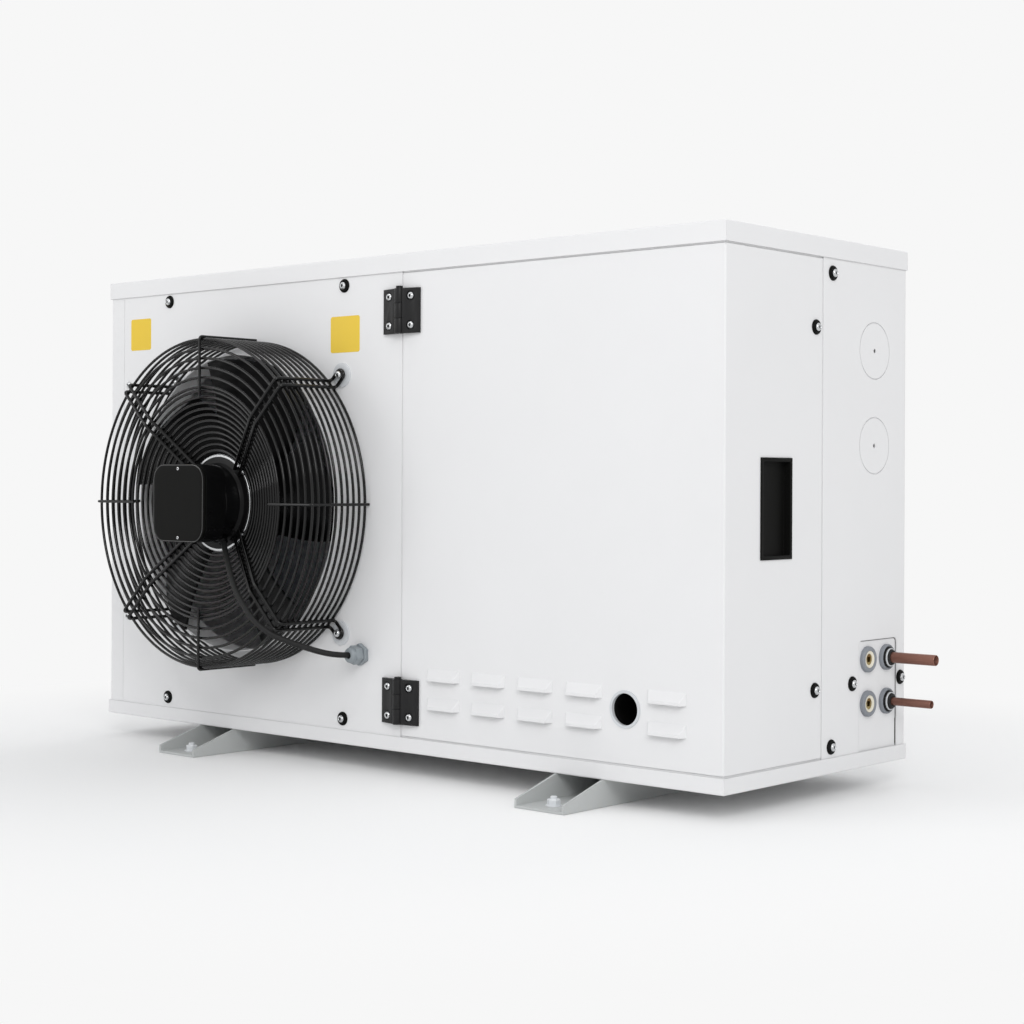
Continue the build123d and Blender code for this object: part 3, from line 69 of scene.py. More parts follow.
def surface(name, color, rough, metal=0.0, specular=0.5, grain=700.0, bump=0.03, mottle=0.06,
            roughSpread=0.08, edge=0.0):
    # paint, plastic, rubber or metal with its own grain, patchy gloss and slightly uneven colour
    material, nodes, links, shader = newMaterial(name)
    shader.inputs["Metallic"].default_value = metal
    shader.inputs["Specular IOR Level"].default_value = specular
    where = nodes.new("ShaderNodeTexCoord")
    fine = nodes.new("ShaderNodeTexNoise")
    fine.inputs["Scale"].default_value = grain
    fine.inputs["Detail"].default_value = texture["fineDetail"]
    broad = nodes.new("ShaderNodeTexNoise")
    broad.inputs["Scale"].default_value = texture["broadScale"]
    broad.inputs["Detail"].default_value = texture["broadDetail"]
    for noise in (fine, broad):
        links.new(where.outputs["Object"], noise.inputs["Vector"])
    tone = nodes.new("ShaderNodeValToRGB")
    low = [channel * (1 - mottle) for channel in color]
    high = [min(1.0, channel * (1 + mottle)) for channel in color]
    tone.color_ramp.elements[0].position = texture["toneStart"]
    tone.color_ramp.elements[1].position = texture["toneEnd"]
    tone.color_ramp.elements[0].color = (*low, 1)
    tone.color_ramp.elements[1].color = (*high, 1)
    links.new(broad.outputs["Fac"], tone.inputs["Fac"])
    links.new(tone.outputs["Color"], shader.inputs["Base Color"])
    gloss = nodes.new("ShaderNodeMapRange")
    gloss.inputs["To Min"].default_value = max(texture["leastRough"], rough - roughSpread)
    gloss.inputs["To Max"].default_value = min(1.0, rough + roughSpread)
    links.new(broad.outputs["Fac"], gloss.inputs["Value"])
    links.new(gloss.outputs["Result"], shader.inputs["Roughness"])
    relief = nodes.new("ShaderNodeBump")
    relief.inputs["Strength"].default_value = bump
    relief.inputs["Distance"].default_value = texture["reliefDepth"]
    links.new(fine.outputs["Fac"], relief.inputs["Height"])
    if edge:
        rounded = nodes.new("ShaderNodeBevel")
        rounded.samples = texture["bevelSamples"]
        rounded.inputs["Radius"].default_value = edge
        links.new(rounded.outputs["Normal"], relief.inputs["Normal"])
    links.new(relief.outputs["Normal"], shader.inputs["Normal"])
    return material


finishes = {
    "powderWhite": surface("powderWhite", (0.80, 0.80, 0.805), 0.42, specular=0.22, grain=1400,
                           bump=0.05, mottle=0.008, edge=0.0011),
    # dark grey for the painted shadow line along the valve-plate recess
    "shadowLineGrey": surface("shadowLineGrey", (0.16, 0.16, 0.165), 0.5, specular=0.3, grain=1200, bump=0.05,
                         mottle=0.05),
    # the foot rails' grey is darkened from their white paint: painted shade for the shadow under the unit
    "shadedRailGrey": surface("shadedRailGrey", (0.50, 0.515, 0.51), 0.42, specular=0.4, grain=1200, bump=0.06,
                         mottle=0.03, edge=0.0011),
    "galvanised": surface("galvanised", (0.62, 0.63, 0.65), 0.36, metal=1.0, grain=160, bump=0.04,
                          mottle=0.12, edge=0.0008),
    "wireBlack": surface("wireBlack", (0.0022, 0.0022, 0.0022), 0.1, specular=0.34, grain=500,
                         bump=0.015, mottle=0.2, roughSpread=0.03),
    "sheenBlack": surface("sheenBlack", (0.012, 0.012, 0.012), 0.14, specular=0.9, grain=500,
                          bump=0.01, mottle=0.1, roughSpread=0.03),
    "fanBlack": surface("fanBlack", (0.0025, 0.0025, 0.0027), 0.24, specular=0.1, grain=900,
                        bump=0.04, mottle=0.2),
    "motorBlack": surface("motorBlack", (0.004, 0.004, 0.0042), 0.28, specular=0.12, grain=700,
                          bump=0.05, mottle=0.2),
    "mouldedBlack": surface("mouldedBlack", (0.0052, 0.0052, 0.0048), 0.46, specular=0.06,
                            grain=2400, bump=0.15, mottle=0.08),
    "hingeBlack": surface("hingeBlack", (0.010, 0.010, 0.0104), 0.4, specular=0.24, grain=1500,
                          bump=0.12, mottle=0.12),
    "compressorBlack": surface("compressorBlack", (0.018, 0.018, 0.019), 0.34, specular=0.45,
                               grain=600, bump=0.1, mottle=0.2),
    "rubberBlack": surface("rubberBlack", (0.014, 0.014, 0.014), 0.62, specular=0.25, grain=1800,
                           bump=0.15, mottle=0.15),
    "brightGrey": surface("brightGrey", (0.62, 0.64, 0.66), 0.3, specular=0.5, grain=1200, bump=0.05,
                          mottle=0.05),
    "rubberGrey": surface("rubberGrey", (0.24, 0.255, 0.28), 0.55, specular=0.3, grain=1600,
                          bump=0.1, mottle=0.08),
    "glandGrey": surface("glandGrey", (0.27, 0.30, 0.32), 0.45, specular=0.35, grain=1500,
                         bump=0.08, mottle=0.06),
    "creamPlastic": surface("creamPlastic", (0.78, 0.74, 0.62), 0.5, specular=0.3, grain=1500,
                            bump=0.06, mottle=0.06),
    "zinc": surface("zinc", (0.56, 0.57, 0.58), 0.24, metal=1.0, grain=420, bump=0.06,
                    mottle=0.12, roughSpread=0.1),
    "groundSteel": surface("groundSteel", (0.56, 0.57, 0.58), 0.22, metal=1.0, grain=300,
                           bump=0.05, mottle=0.08),
    "finAluminium": surface("finAluminium", (0.66, 0.67, 0.69), 0.34, metal=0.35, grain=300,
                            bump=0.05, mottle=0.1),
    "copperTube": surface("copperTube", (0.215, 0.100, 0.074), 0.38, metal=0.6, grain=260,
                          bump=0.08, mottle=0.22, roughSpread=0.14),
    "brassBar": surface("brassBar", (0.36, 0.28, 0.12), 0.3, metal=1.0, grain=380, bump=0.06,
                        mottle=0.16, roughSpread=0.1),
    "canWhite": surface("canWhite", (0.74, 0.76, 0.78), 0.3, specular=0.45, grain=900, bump=0.04,
                        mottle=0.02),
    "greyPlastic": surface("greyPlastic", (0.30, 0.31, 0.33), 0.5, specular=0.35, grain=1600,
                           bump=0.08, mottle=0.05),
    "redPlastic": surface("redPlastic", (0.50, 0.03, 0.02), 0.3, specular=0.45, grain=1500,
                          bump=0.04, mottle=0.06),
    "yellowLabel": surface("yellowLabel", (0.80, 0.55, 0.03), 0.34, specular=0.4, grain=1200,
                           bump=0.02, mottle=0.025),
    "greyFoam": surface("greyFoam", (0.035, 0.035, 0.037), 0.9, specular=0.15, grain=2600,
                        bump=0.5, mottle=0.2),
}

nodeFinish = {
    "brightGrey": ("sight_hole_trim",),
    # the foot rails take the grey with painted shade
    "shadedRailGrey": ("foot_rail_left", "foot_rail_right"),
    "powderWhite": ("base_tray", "lid", "fan_panel", "left_side_panel", "service_side_panel",
                    "valve_plate", "divider_panel", "rear_panel", "door_panel"),
    "galvanised": ("coil_end_plates", "electrical_box"),
    "fanBlack": ("fan_impeller", "fan_rotor"),
    "motorBlack": ("motor_stator", "motor_terminal_box"),
    "mouldedBlack": ("terminal_box_cover", "recess_handle", "panel_washers", "door_washers",
                     "contactor", "compressor_terminal_cover"),
    "hingeBlack": ("hinge_leaves_fixed", "hinge_leaves_door", "hinge_pins"),
    "wireBlack": ("guard_rings", "guard_arms", "guard_stays"),
    "compressorBlack": ("compressor", "liquid_receiver"),
    "rubberBlack": ("compressor_mounts", "motor_cable"),
    "greyFoam": ("door_seal",),
    "rubberGrey": ("valve_grommets",),
    "glandGrey": ("cable_gland_body", "cable_gland_nut"),
    "zinc": ("panel_screws", "door_screws", "guard_ears", "compressor_bolts"),
    "groundSteel": ("fan_shaft", "motor_bearings"),
    "finAluminium": ("condenser_fins", "run_capacitor"),
    "copperTube": ("coil_return_bends", "discharge_line", "condensate_line", "suction_line",
                   "liquid_line", "pipe_stubs"),
    "brassBar": ("suction_valve", "liquid_valve", "suction_spindle", "liquid_spindle",
                 "sight_glass"),
    "canWhite": ("filter_drier",),
    "greyPlastic": ("pressure_switch",),
    "redPlastic": ("reset_button",),
}
for finish, names in nodeFinish.items():
    for name in names:
        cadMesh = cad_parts[name].data
        cadMesh.materials.clear()
        cadMesh.materials.append(finishes[finish])
print("finishes on", sum(len(names) for names in nodeFinish.values()), "nodes")


# shape helpers

weldReach = 1e-6         # vertices nearer than this are one
nearlyStraight = 176.0   # corners flatter than this stay as they are, in degrees
cornerShare = 0.49       # the share of a run that a rounded corner may take
domeShare = 0.35         # height of a wire's domed end, as a share of its radius
barEdge = 0.0002         # the eased edge of a folded strip


def addPiece(name, bm, finish, body, smooth=40.0):
    # turns built geometry into a piece that rides on a body
    bmesh.ops.recalc_face_normals(bm, faces=bm.faces)
    mesh = bpy.data.meshes.new(name)
    bm.to_mesh(mesh)
    bm.free()
    mesh.materials.append(finishes[finish])
    for face in mesh.polygons:
        face.use_smooth = True
    mesh.set_sharp_from_angle(angle=math.radians(smooth))
    piece = bpy.data.objects.new(name, mesh)
    bpy.context.scene.collection.objects.link(piece)
    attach(piece, body)
    return piece


def roundCorners(points, radii, steps=7):
    # a path through the points with each corner rounded off by a curve
    path = [Vector(points[0])]
    for i in range(1, len(points) - 1):
        corner = Vector(points[i])
        back = Vector(points[i - 1]) - corner
        ahead = Vector(points[i + 1]) - corner
        angle = back.angle(ahead)
        radius = radii[i - 1]
        if angle > math.radians(nearlyStraight) or radius <= 0:
            path.append(corner)
            continue
        reach = min(radius / math.tan(angle / 2), back.length * cornerShare, ahead.length * cornerShare)
        start = corner + back.normalized() * reach
        end = corner + ahead.normalized() * reach
        for k in range(steps + 1):
            t = k / steps
            path.append((1 - t) ** 2 * start + 2 * t * (1 - t) * corner + t ** 2 * end)
    path.append(Vector(points[-1]))
    return path


def sweepRound(bm, path, radius, sides=12, closed=False, place=None):
    # sweeps a round section along a path, turning it smoothly, with domed ends when open
    count = len(path)
    tangents = []
    for i in range(count):
        if closed:
            step = path[(i + 1) % count] - path[i - 1]
        else:
            step = path[min(i + 1, count - 1)] - path[max(i - 1, 0)]
        tangents.append(step.normalized())
    across = tangents[0].orthogonal().normalized()
    rings = []
    for i in range(count):
        tangent = tangents[i]
        across = (across - tangent * across.dot(tangent)).normalized()
        other = tangent.cross(across)
        ring = []
        for k in range(sides):
            turn = 2 * math.pi * k / sides
            spot = path[i] + (across * math.cos(turn) + other * math.sin(turn)) * radius
            ring.append(bm.verts.new(place @ spot if place else spot))
        rings.append(ring)
    pairs = count if closed else count - 1
    for i in range(pairs):
        a, b = rings[i], rings[(i + 1) % count]
        for k in range(sides):
            bm.faces.new((a[k], a[(k + 1) % sides], b[(k + 1) % sides], b[k]))
    if not closed:
        for ring, sign, spot, tangent in ((rings[0], -1, path[0], tangents[0]),
                                          (rings[-1], 1, path[-1], tangents[-1])):
            crown = spot + tangent * sign * radius * domeShare
            tip = bm.verts.new(place @ crown if place else crown)
            for k in range(sides):
                bm.faces.new((ring[k], ring[(k + 1) % sides], tip))


def spin(bm, profile, place, sides=48):
    # turns a profile of (radius, height) points round the local Z axis
    rings = []
    for radius, height in profile:
        if radius < 1e-7:
            rings.append([bm.verts.new(place @ Vector((0, 0, height)))])
            continue
        rings.append([bm.verts.new(place @ Vector((radius * math.cos(2 * math.pi * k / sides),
                                                   radius * math.sin(2 * math.pi * k / sides),
                                                   height))) for k in range(sides)])
    for a, b in zip(rings, rings[1:]):
        for k in range(sides):
            j = (k + 1) % sides
            if len(a) == 1 and len(b) == 1:
                continue
            if len(a) == 1:
                bm.faces.new((a[0], b[j], b[k]))
            elif len(b) == 1:
                bm.faces.new((a[k], a[j], b[0]))
            else:
                bm.faces.new((a[k], a[j], b[j], b[k]))


def roundedProfile(points, radius, steps=4):
    # softens the corners of a (radius, height) profile
    flat = [(r, h, 0.0) for r, h in points]
    return [(v.x, v.y) for v in roundCorners(flat, [radius] * (len(flat) - 2), steps)]


def circlePath(radius, height, segments=120):
    return [Vector((radius * math.cos(2 * math.pi * k / segments),
                    radius * math.sin(2 * math.pi * k / segments), height))
            for k in range(segments)]


def softCopy(name, node, width, finish, body, segments=3, angle=28.0, flat=1.0):
    # a copy of a CAD piece with its sharp edges rounded over
    bm = bmesh.new()
    bm.from_mesh(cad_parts[node].data)
    bmesh.ops.remove_doubles(bm, verts=bm.verts, dist=weldReach)
    bmesh.ops.dissolve_limit(bm, angle_limit=math.radians(flat), verts=bm.verts, edges=bm.edges)
    sharp = [e for e in bm.edges if len(e.link_faces) == 2
             and e.calc_face_angle(0.0) > math.radians(angle)]
    bmesh.ops.bevel(bm, geom=sharp, offset=width, segments=segments, profile=0.5, affect="EDGES",
                    clamp_overlap=True)
    piece = addPiece(name, bm, finish, body)
    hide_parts(node)
    return piece


def addBar(bm, low, high):
    # a straight folded strip between two corners, its edges eased
    low, high = Vector(low), Vector(high)
    half, middle = (high - low) / 2, (high + low) / 2
    cast = bmesh.ops.create_cube(bm, size=2.0)
    for vertex in cast["verts"]:
        vertex.co = middle + Vector(vertex.co[i] * half[i] for i in range(3))
    edges = list({edge for vertex in cast["verts"] for edge in vertex.link_edges})
    bmesh.ops.bevel(bm, geom=edges, offset=barEdge, segments=2, profile=0.5, affect="EDGES")


# camera

view = {"azimuth": 41.467, "roll": 0.254, "lens": 67.25, "sensor": 36.0,
        "place": (1.6533, -1.8198, 0.3577), "rise": -0.0313}
cameraData = bpy.data.cameras.new("camera")
cameraData.lens = view["lens"]
cameraData.sensor_width = view["sensor"]
cameraData.shift_y = view["rise"]
camera = bpy.data.objects.new("camera", cameraData)
bpy.context.scene.collection.objects.link(camera)
turn = math.radians(view["azimuth"])
forward = Vector((-math.sin(turn), math.cos(turn), 0))
right = Vector((math.cos(turn), math.sin(turn), 0))
up = right.cross(forward)
roll = math.radians(view["roll"])
tiltedRight = right * math.cos(roll) + up * math.sin(roll)
tiltedUp = up * math.cos(roll) - right * math.sin(roll)
axes = Matrix((tiltedRight, tiltedUp, -forward)).transposed().to_4x4()
camera.matrix_world = Matrix.Translation(view["place"]) @ axes
bpy.context.scene.camera = camera
print("camera set")


# fan guard: basket rings, hairpin arms, stays and their welds

guard = {"ring": 0.206, "wire": 0.0018, "armWire": 0.0021, "start": 0.005, "sideRings": 10,
         "sidePitch": 0.0096, "faceRings": 5, "facePitch": 0.012, "funnelRings": 11,
         "funnelPitch": 0.0074, "bend": 0.144, "armEnd": 0.0545, "flange": 0.064,
         "pair": 0.006, "ear": 0.226, "earDisc": 0.002, "stayReach": 0.078, "stayFoot": 0.003,
         "stayBend": 0.0045, "crestRise": 0.0039, "footRise": 0.0022, "funnelInset": 0.003,
         "funnelDrop": 0.0041, "armBends": [0.03, 0.006, 0.005], "seat": 0.0001, "weldLift": 0.0003,
         "segments": 144, "hookSteps": 12}
guardFront = guard["start"] + (guard["sideRings"] - 1) * guard["sidePitch"]
armCrest = guardFront + guard["crestRise"]
armFoot = guard["flange"] + guard["footRise"]


def armHeight(radius):
    share = (radius - guard["armEnd"]) / (guard["bend"] - guard["armEnd"])
    return armFoot + share * (armCrest - armFoot)


def makeGuardRings():
    bm = bmesh.new()
    spots = [(guard["ring"], guard["start"] + i * guard["sidePitch"])
             for i in range(guard["sideRings"])]
    spots += [(guard["ring"] - i * guard["facePitch"], guardFront)
              for i in range(1, guard["faceRings"] + 1)]
    for i in range(guard["funnelRings"]):
        radius = guard["bend"] - guard["funnelInset"] - i * guard["funnelPitch"]
        spots.append((radius, armHeight(radius) - guard["funnelDrop"]))
    for radius, height in spots:
        sweepRound(bm, circlePath(radius, height, guard["segments"]), guard["wire"], 10, True, fanPlace)
    piece = addPiece("guardRings", bm, "wireBlack", "root")
    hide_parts("guard_rings")
    return spots


def armPath(side, spread):
    # one wire of a hairpin arm in its own plane, with the other wire on the other side
    wall = guard["ring"] + guard["wire"] + guard["armWire"] + guard["seat"]
    low = guard["earDisc"] + guard["armWire"]
    return [(guard["armEnd"], side * spread, armFoot), (guard["bend"], side * spread, armCrest),
            (wall, side * spread, armCrest), (wall, side * spread, low)]


def makeGuardArms():
    bm = bmesh.new()
    spread = guard["pair"]
    low = guard["earDisc"] + guard["armWire"]
    hook = []
    for k in range(guard["hookSteps"] + 1):
        turn = math.pi / 2 - math.pi * k / guard["hookSteps"]
        hook.append((guard["ear"] + spread * math.cos(turn), spread * math.sin(turn), low))
    points = armPath(1, spread) + hook + armPath(-1, spread)[::-1]
    radii = guard["armBends"] + [0.0] * len(hook) + guard["armBends"][::-1]
    path = roundCorners(points, radii, 8)
    for i in range(4):
        place = fanPlace @ Matrix.Rotation(math.pi / 2 * (i + 0.5), 4, "Z")
        sweepRound(bm, path, guard["armWire"], 12, False, place)
    piece = addPiece("guardArms", bm, "wireBlack", "root")
    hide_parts("guard_arms")


def makeGuardStays():
    bm = bmesh.new()
    wall = guard["ring"] + 2 * guard["wire"]
    crest = guardFront + 2 * guard["wire"]
    points = [(wall, 0, guard["start"] - guard["stayFoot"]), (wall, 0, crest),
              (wall - guard["stayReach"], 0, crest)]
    path = roundCorners(points, [guard["stayBend"]], 8)
    for i in range(4):
        place = fanPlace @ Matrix.Rotation(math.pi / 2 * i, 4, "Z")
        sweepRound(bm, path, guard["wire"], 12, False, place)
    piece = addPiece("guardStays", bm, "wireBlack", "root")
    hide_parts("guard_stays")


def makeGuardWelds(spots):
    # a small flattened bead wherever a ring crosses an arm or a stay
    bm = bmesh.new()
    bead = [(0.0, 0.0016), (0.0012, 0.0012), (0.0017, 0.0), (0.0012, -0.0012), (0.0, -0.0016)]
    for radius, height in spots:
        side = radius > guard["ring"] - 0.001
        reach = guard["wire"] + guard["weldLift"]
        for i in range(8):
            turn = math.pi / 4 * i
            offsets = (-guard["pair"], guard["pair"]) if i % 2 else (0.0,)
            if not i % 2 and radius < guard["ring"] - guard["stayReach"]:
                continue
            for offset in offsets:
                out = math.sqrt(radius ** 2 - offset ** 2) + (reach if side else 0.0)
                spot = Vector((out, offset, height + (0.0 if side else reach)))
                place = fanPlace @ Matrix.Rotation(turn, 4, "Z") @ Matrix.Translation(spot)
                spin(bm, bead, place, 8)
    addPiece("guardWelds", bm, "wireBlack", "root")


ringSpots = makeGuardRings()
makeGuardArms()
makeGuardStays()
makeGuardWelds(ringSpots)
print("guard built:", len(ringSpots), "rings")


# motor: flange, neck, terminal box and cover

motor = {"flange": 0.062, "front": 0.064, "thick": 0.006, "neck": 0.047, "boxLow": 0.090,
         "half": 0.0485, "corner": 0.020, "seam": 0.123, "top": 0.129, "edge": 0.0035,
         "boss": (0.0248, -0.0488, 0.076), "bossAim": (0.66, -0.66, 0.36), "rimWide": 0.0035,
         "rimEdge": 0.0012}


def roundedOutline(sides, half, corner, steps=8, stretch=1.0):
    # a polygon of that half width across its flats, with rounded corners
    spots = []
    for k in range(sides):
        middle = 2 * math.pi * (k + 0.5) / sides
        reach = (half - corner) / math.cos(math.pi / sides)
        for s in range(steps + 1):
            turn = middle + math.pi / sides * (2 * s / steps - 1)
            spots.append(((reach * math.cos(middle) + corner * math.cos(turn)) * stretch,
                          reach * math.sin(middle) + corner * math.sin(turn)))
    return spots


def stackOutlines(bm, layers, place, sides=4, stretch=1.0):
    # joins rounded outlines of (half width, corner radius, height) and closes both ends
    rings = []
    for half, corner, height in layers:
        outline = roundedOutline(sides, half, corner, 8, stretch)
        rings.append([bm.verts.new(place @ Vector((x, y, height))) for x, y in outline])
    count = len(rings[0])
    for a, b in zip(rings, rings[1:]):
        for k in range(count):
            j = (k + 1) % count
            bm.faces.new((a[k], a[j], b[j], b[k]))
    bm.faces.new(rings[-1])
    bm.faces.new(rings[0][::-1])


def makeMotorBody():
    bm = bmesh.new()
    front, thick, neck = motor["front"], motor["thick"], motor["neck"]
    outline = [(0.0, front - thick), (motor["flange"] - 0.003, front - thick),
               (motor["flange"] - 0.003, front), (neck + 0.004, front + 0.0006),
               (neck, front + 0.004), (neck, motor["boxLow"]), (0.0, motor["boxLow"])]
    spin(bm, roundedProfile(outline, 0.0016, 4), fanPlace, 96)
    aim = Vector(motor["bossAim"]).to_track_quat("Z", "Y").to_matrix().to_4x4()
    boss = Matrix.Translation(motor["boss"]) @ aim
    sleeve = [(0.0, -0.016), (0.006, -0.016), (0.006, 0.0), (0.0038, 0.0012), (0.0, 0.0012)]
    spin(bm, roundedProfile(sleeve, 0.0008, 3), fanPlace @ boss, 24)
    piece = addPiece("motorBody", bm, "motorBlack", "root")
    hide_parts("motor_stator")


def makeMotorRim():
    # a bright ground-steel ring round the flange edge: partly the flange's own metal, partly a painted
    # highlight for the light along the rim
    bm = bmesh.new()
    low, high, out = motor["front"] - motor["thick"], motor["front"], motor["flange"]
    wide, edge = motor["rimWide"], motor["rimEdge"]
    rim = [(out - wide, low), (out, low), (out, high - edge), (out - edge, high), (out - wide, high)]
    spin(bm, roundedProfile(rim, 0.0005, 3) + [rim[0]], fanPlace, 96)
    addPiece("motorRim", bm, "groundSteel", "root")


def makeTerminalBox():
    half, corner, low, seam = motor["half"], motor["corner"], motor["boxLow"], motor["seam"]
    bm = bmesh.new()
    stackOutlines(bm, [(half - 0.004, corner - 0.003, low), (half - 0.0012, corner, low + 0.0015),
                       (half - 0.0002, corner, low + 0.008), (half, corner, seam - 0.0006),
                       (half - 0.0009, corner, seam)], fanPlace)
    piece = addPiece("terminalBox", bm, "motorBlack", "root")
    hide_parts("motor_terminal_box")


cover = {"bead": 0.0007, "beadInset": 0.0011, "screw": 0.0022, "screwInset": 0.0055, "screwSunk": 0.0004,
         "screwFlat": 0.25, "edgeSteps": 6, "crown": 0.008, "crownCorner": 0.007}


def makeTerminalCover():
    # the moulded lid of the terminal box, its raised bead and its two flat screws
    half, corner, seam, top, edge = (motor[key] for key in ("half", "corner", "seam", "top", "edge"))
    bm = bmesh.new()
    layers = [(half - 0.001, corner, seam - 0.0004), (half - 0.0002, corner, seam + 0.0006)]
    for k in range(cover["edgeSteps"] + 1):
        turn = math.pi / 2 * k / cover["edgeSteps"]
        inset = edge * (1 - math.cos(turn))
        layers.append((half - inset, corner - inset, top - edge + edge * math.sin(turn)))
    layers.append((half - cover["crown"], corner - cover["crownCorner"], top))
    stackOutlines(bm, layers, fanPlace)
    piece = addPiece("terminalCover", bm, "mouldedBlack", "root")
    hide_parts("terminal_box_cover")
    bm = bmesh.new()
    outline = roundedOutline(4, half - cover["beadInset"], corner - cover["beadInset"])
    bead = [Vector((x, y, top - cover["bead"])) for x, y in outline]
    sweepRound(bm, bead, cover["bead"], 8, True, fanPlace)
    addPiece("coverBead", bm, "sheenBlack", "root")
    bm = bmesh.new()
    for side in (-1, 1):
        spot = (0.0, side * (half - cover["screwInset"]), top - cover["screwSunk"])
        place = fanPlace @ Matrix.Translation(spot) @ Matrix.Scale(cover["screwFlat"], 4, (0, 0, 1))
        spin(bm, screwHead(cover["screw"]), place, 20)
    addPiece("coverScrews", bm, "zinc", "root")


# screws, washers and discs, seated where the solids have them

screwShape = {"head": 0.0047, "rise": 0.0036, "socket": 0.0019, "recess": 0.0021, "coneDepth": 0.0006,
              "drawn": 0.0055, "turn": 0.9}
discs = {"thick": 0.002, "earBore": 0.0027, "earRadius": 0.0152, "earEdge": 0.0006, "square": 0.0003}


def screwHead(radius):
    # a pan head with a socket, standing on its seat, drawn at one radius and scaled to another
    share = radius / screwShape["drawn"]
    spots = [(0.0, 0.0012), (0.0020, 0.0013), (0.0022, 0.0031), (0.0026, 0.0035),
             (0.0036, 0.0034), (0.0046, 0.0028), (0.0053, 0.0018), (0.0055, 0.0007), (0.0053, 0.0)]
    return [(r * share, h) for r, h in spots]


def islands(node):
    # (lowest corner, highest corner) of each separate solid of a CAD node
    bm = bmesh.new()
    bm.from_mesh(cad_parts[node].data)
    bmesh.ops.remove_doubles(bm, verts=bm.verts, dist=weldReach)
    seen, found = set(), []
    for start in bm.verts:
        if start in seen:
            continue
        seen.add(start)
        stack, spots = [start], []
        while stack:
            vertex = stack.pop()
            spots.append(vertex.co)
            for edge in vertex.link_edges:
                other = edge.other_vert(vertex)
                if other not in seen:
                    seen.add(other)
                    stack.append(other)
        found.append((Vector(min(c[i] for c in spots) for i in range(3)),
                      Vector(max(c[i] for c in spots) for i in range(3))))
    bm.free()
    return found


def seatOf(low, high, rise):
    # a place on the face that the piece is pressed against, with local Z pointing away from it
    middle, size = (low + high) / 2, high - low
    if abs(size.x - size.z) < discs["square"]:
        return Matrix.Translation((middle.x, low.y + rise, middle.z)) @ Matrix.Rotation(
            math.pi / 2, 4, "X")
    return Matrix.Translation((high.x - rise, middle.y, middle.z)) @ Matrix.Rotation(
        math.pi / 2, 4, "Y")


def makeScrews(name, node, body):
    bm, dark = bmesh.new(), bmesh.new()
    for i, (low, high) in enumerate(islands(node)):
        place = seatOf(low, high, screwShape["rise"]) @ Matrix.Rotation(screwShape["turn"] * i, 4, "Z")
        spin(bm, screwHead(screwShape["head"]), place, 28)
        # a black cone in each socket: painted shade in the recess of the zinc head
        hollow = [(0.0, screwShape["recess"] - screwShape["coneDepth"]),
                  (screwShape["socket"], screwShape["recess"])]
        spin(dark, hollow, place, 6)
    piece = addPiece(name, bm, "zinc", body)
    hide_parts(node)
    addPiece(name + "SocketShade", dark, "mouldedBlack", body)


def makeWashers(name, node, body):
    bm = bmesh.new()
    dome = [(0.0028, 0.0003), (0.0028, 0.0019), (0.0056, 0.0020), (0.0062, 0.0024), (0.0070, 0.0024),
            (0.0079, 0.0018), (0.0085, 0.0008), (0.0085, 0.0)]
    for low, high in islands(node):
        spin(bm, dome, seatOf(low, high, discs["thick"]), 36)
    piece = addPiece(name, bm, "mouldedBlack", body)
    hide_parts(node)


def makeEars():
    bm = bmesh.new()
    bore, rim, thick = discs["earBore"], discs["earRadius"], discs["thick"]
    disc = roundedProfile([(bore, 0.0), (bore, thick), (rim, thick), (rim, 0.0)], discs["earEdge"], 3)
    for low, high in islands("guard_ears"):
        spin(bm, disc, seatOf(low, high, thick), 40)
    piece = addPiece("guardEars", bm, "brightGrey", "root")
    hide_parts("guard_ears")


# lead and gland

lead = {"diameter": 0.0072, "length": 0.281, "beside": 0.012, "boss": 0.052, "bossHeight": 0.076,
        "crest": guardFront + 0.0122}


def glandCentre():
    low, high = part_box("cable_gland_nut")
    return (low.x + high.x) / 2, (low.z + high.z) / 2


def makeLead():
    # from the boss on the motor, over the edge of the guard and down into the gland
    glandX, glandZ = glandCentre()
    dx, dz, crest = glandX - fanX, glandZ - fanZ, lead["crest"]
    spots = []
    for out, height in ((lead["boss"], lead["bossHeight"]), (0.108, crest - 0.006),
                        (guard["bend"], crest + 0.004), (0.200, crest + 0.002)):
        reach = out * math.sqrt(0.5)
        spots.append((reach - lead["beside"], -reach - lead["beside"], height))
    spots += [(dx - 0.022, dz + 0.006, 0.057), (dx, dz, 0.031), (dx, dz, 0.003)]
    route = [fanPlace @ Vector(spot) for spot in spots]
    curve = bpy.data.curves.new("motorLead", "CURVE")
    curve.dimensions = "3D"
    curve.resolution_u = 16
    curve.bevel_depth = lead["diameter"] / 2
    curve.bevel_resolution = 6
    curve.use_fill_caps = True
    line = curve.splines.new("NURBS")
    line.points.add(len(route) - 1)
    for point, spot in zip(line.points, route):
        point.co = (*spot, 1.0)
    line.order_u = 3
    line.use_endpoint_u = True
    curve.materials.append(finishes["rubberBlack"])
    piece = bpy.data.objects.new("motorLead", curve)
    bpy.context.collection.objects.link(piece)
    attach(piece, "root")
    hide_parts("motor_cable")


gland = {"base": [(0.0117, 0.0016, 0.0), (0.0121, 0.002, 0.0006), (0.0121, 0.002, 0.0052),
                  (0.0113, 0.002, 0.006)],
         "nut": [(0.0100, 0.003, 0.0061), (0.0106, 0.002, 0.0072), (0.0106, 0.002, 0.0158),
                 (0.0098, 0.003, 0.0172)],
         "cap": [(0.0096, 0.0170), (0.0092, 0.0205), (0.0070, 0.0226), (0.0040, 0.0229),
                 (0.0040, 0.0200)], "capEdge": 0.0009, "nutTurn": 0.25}


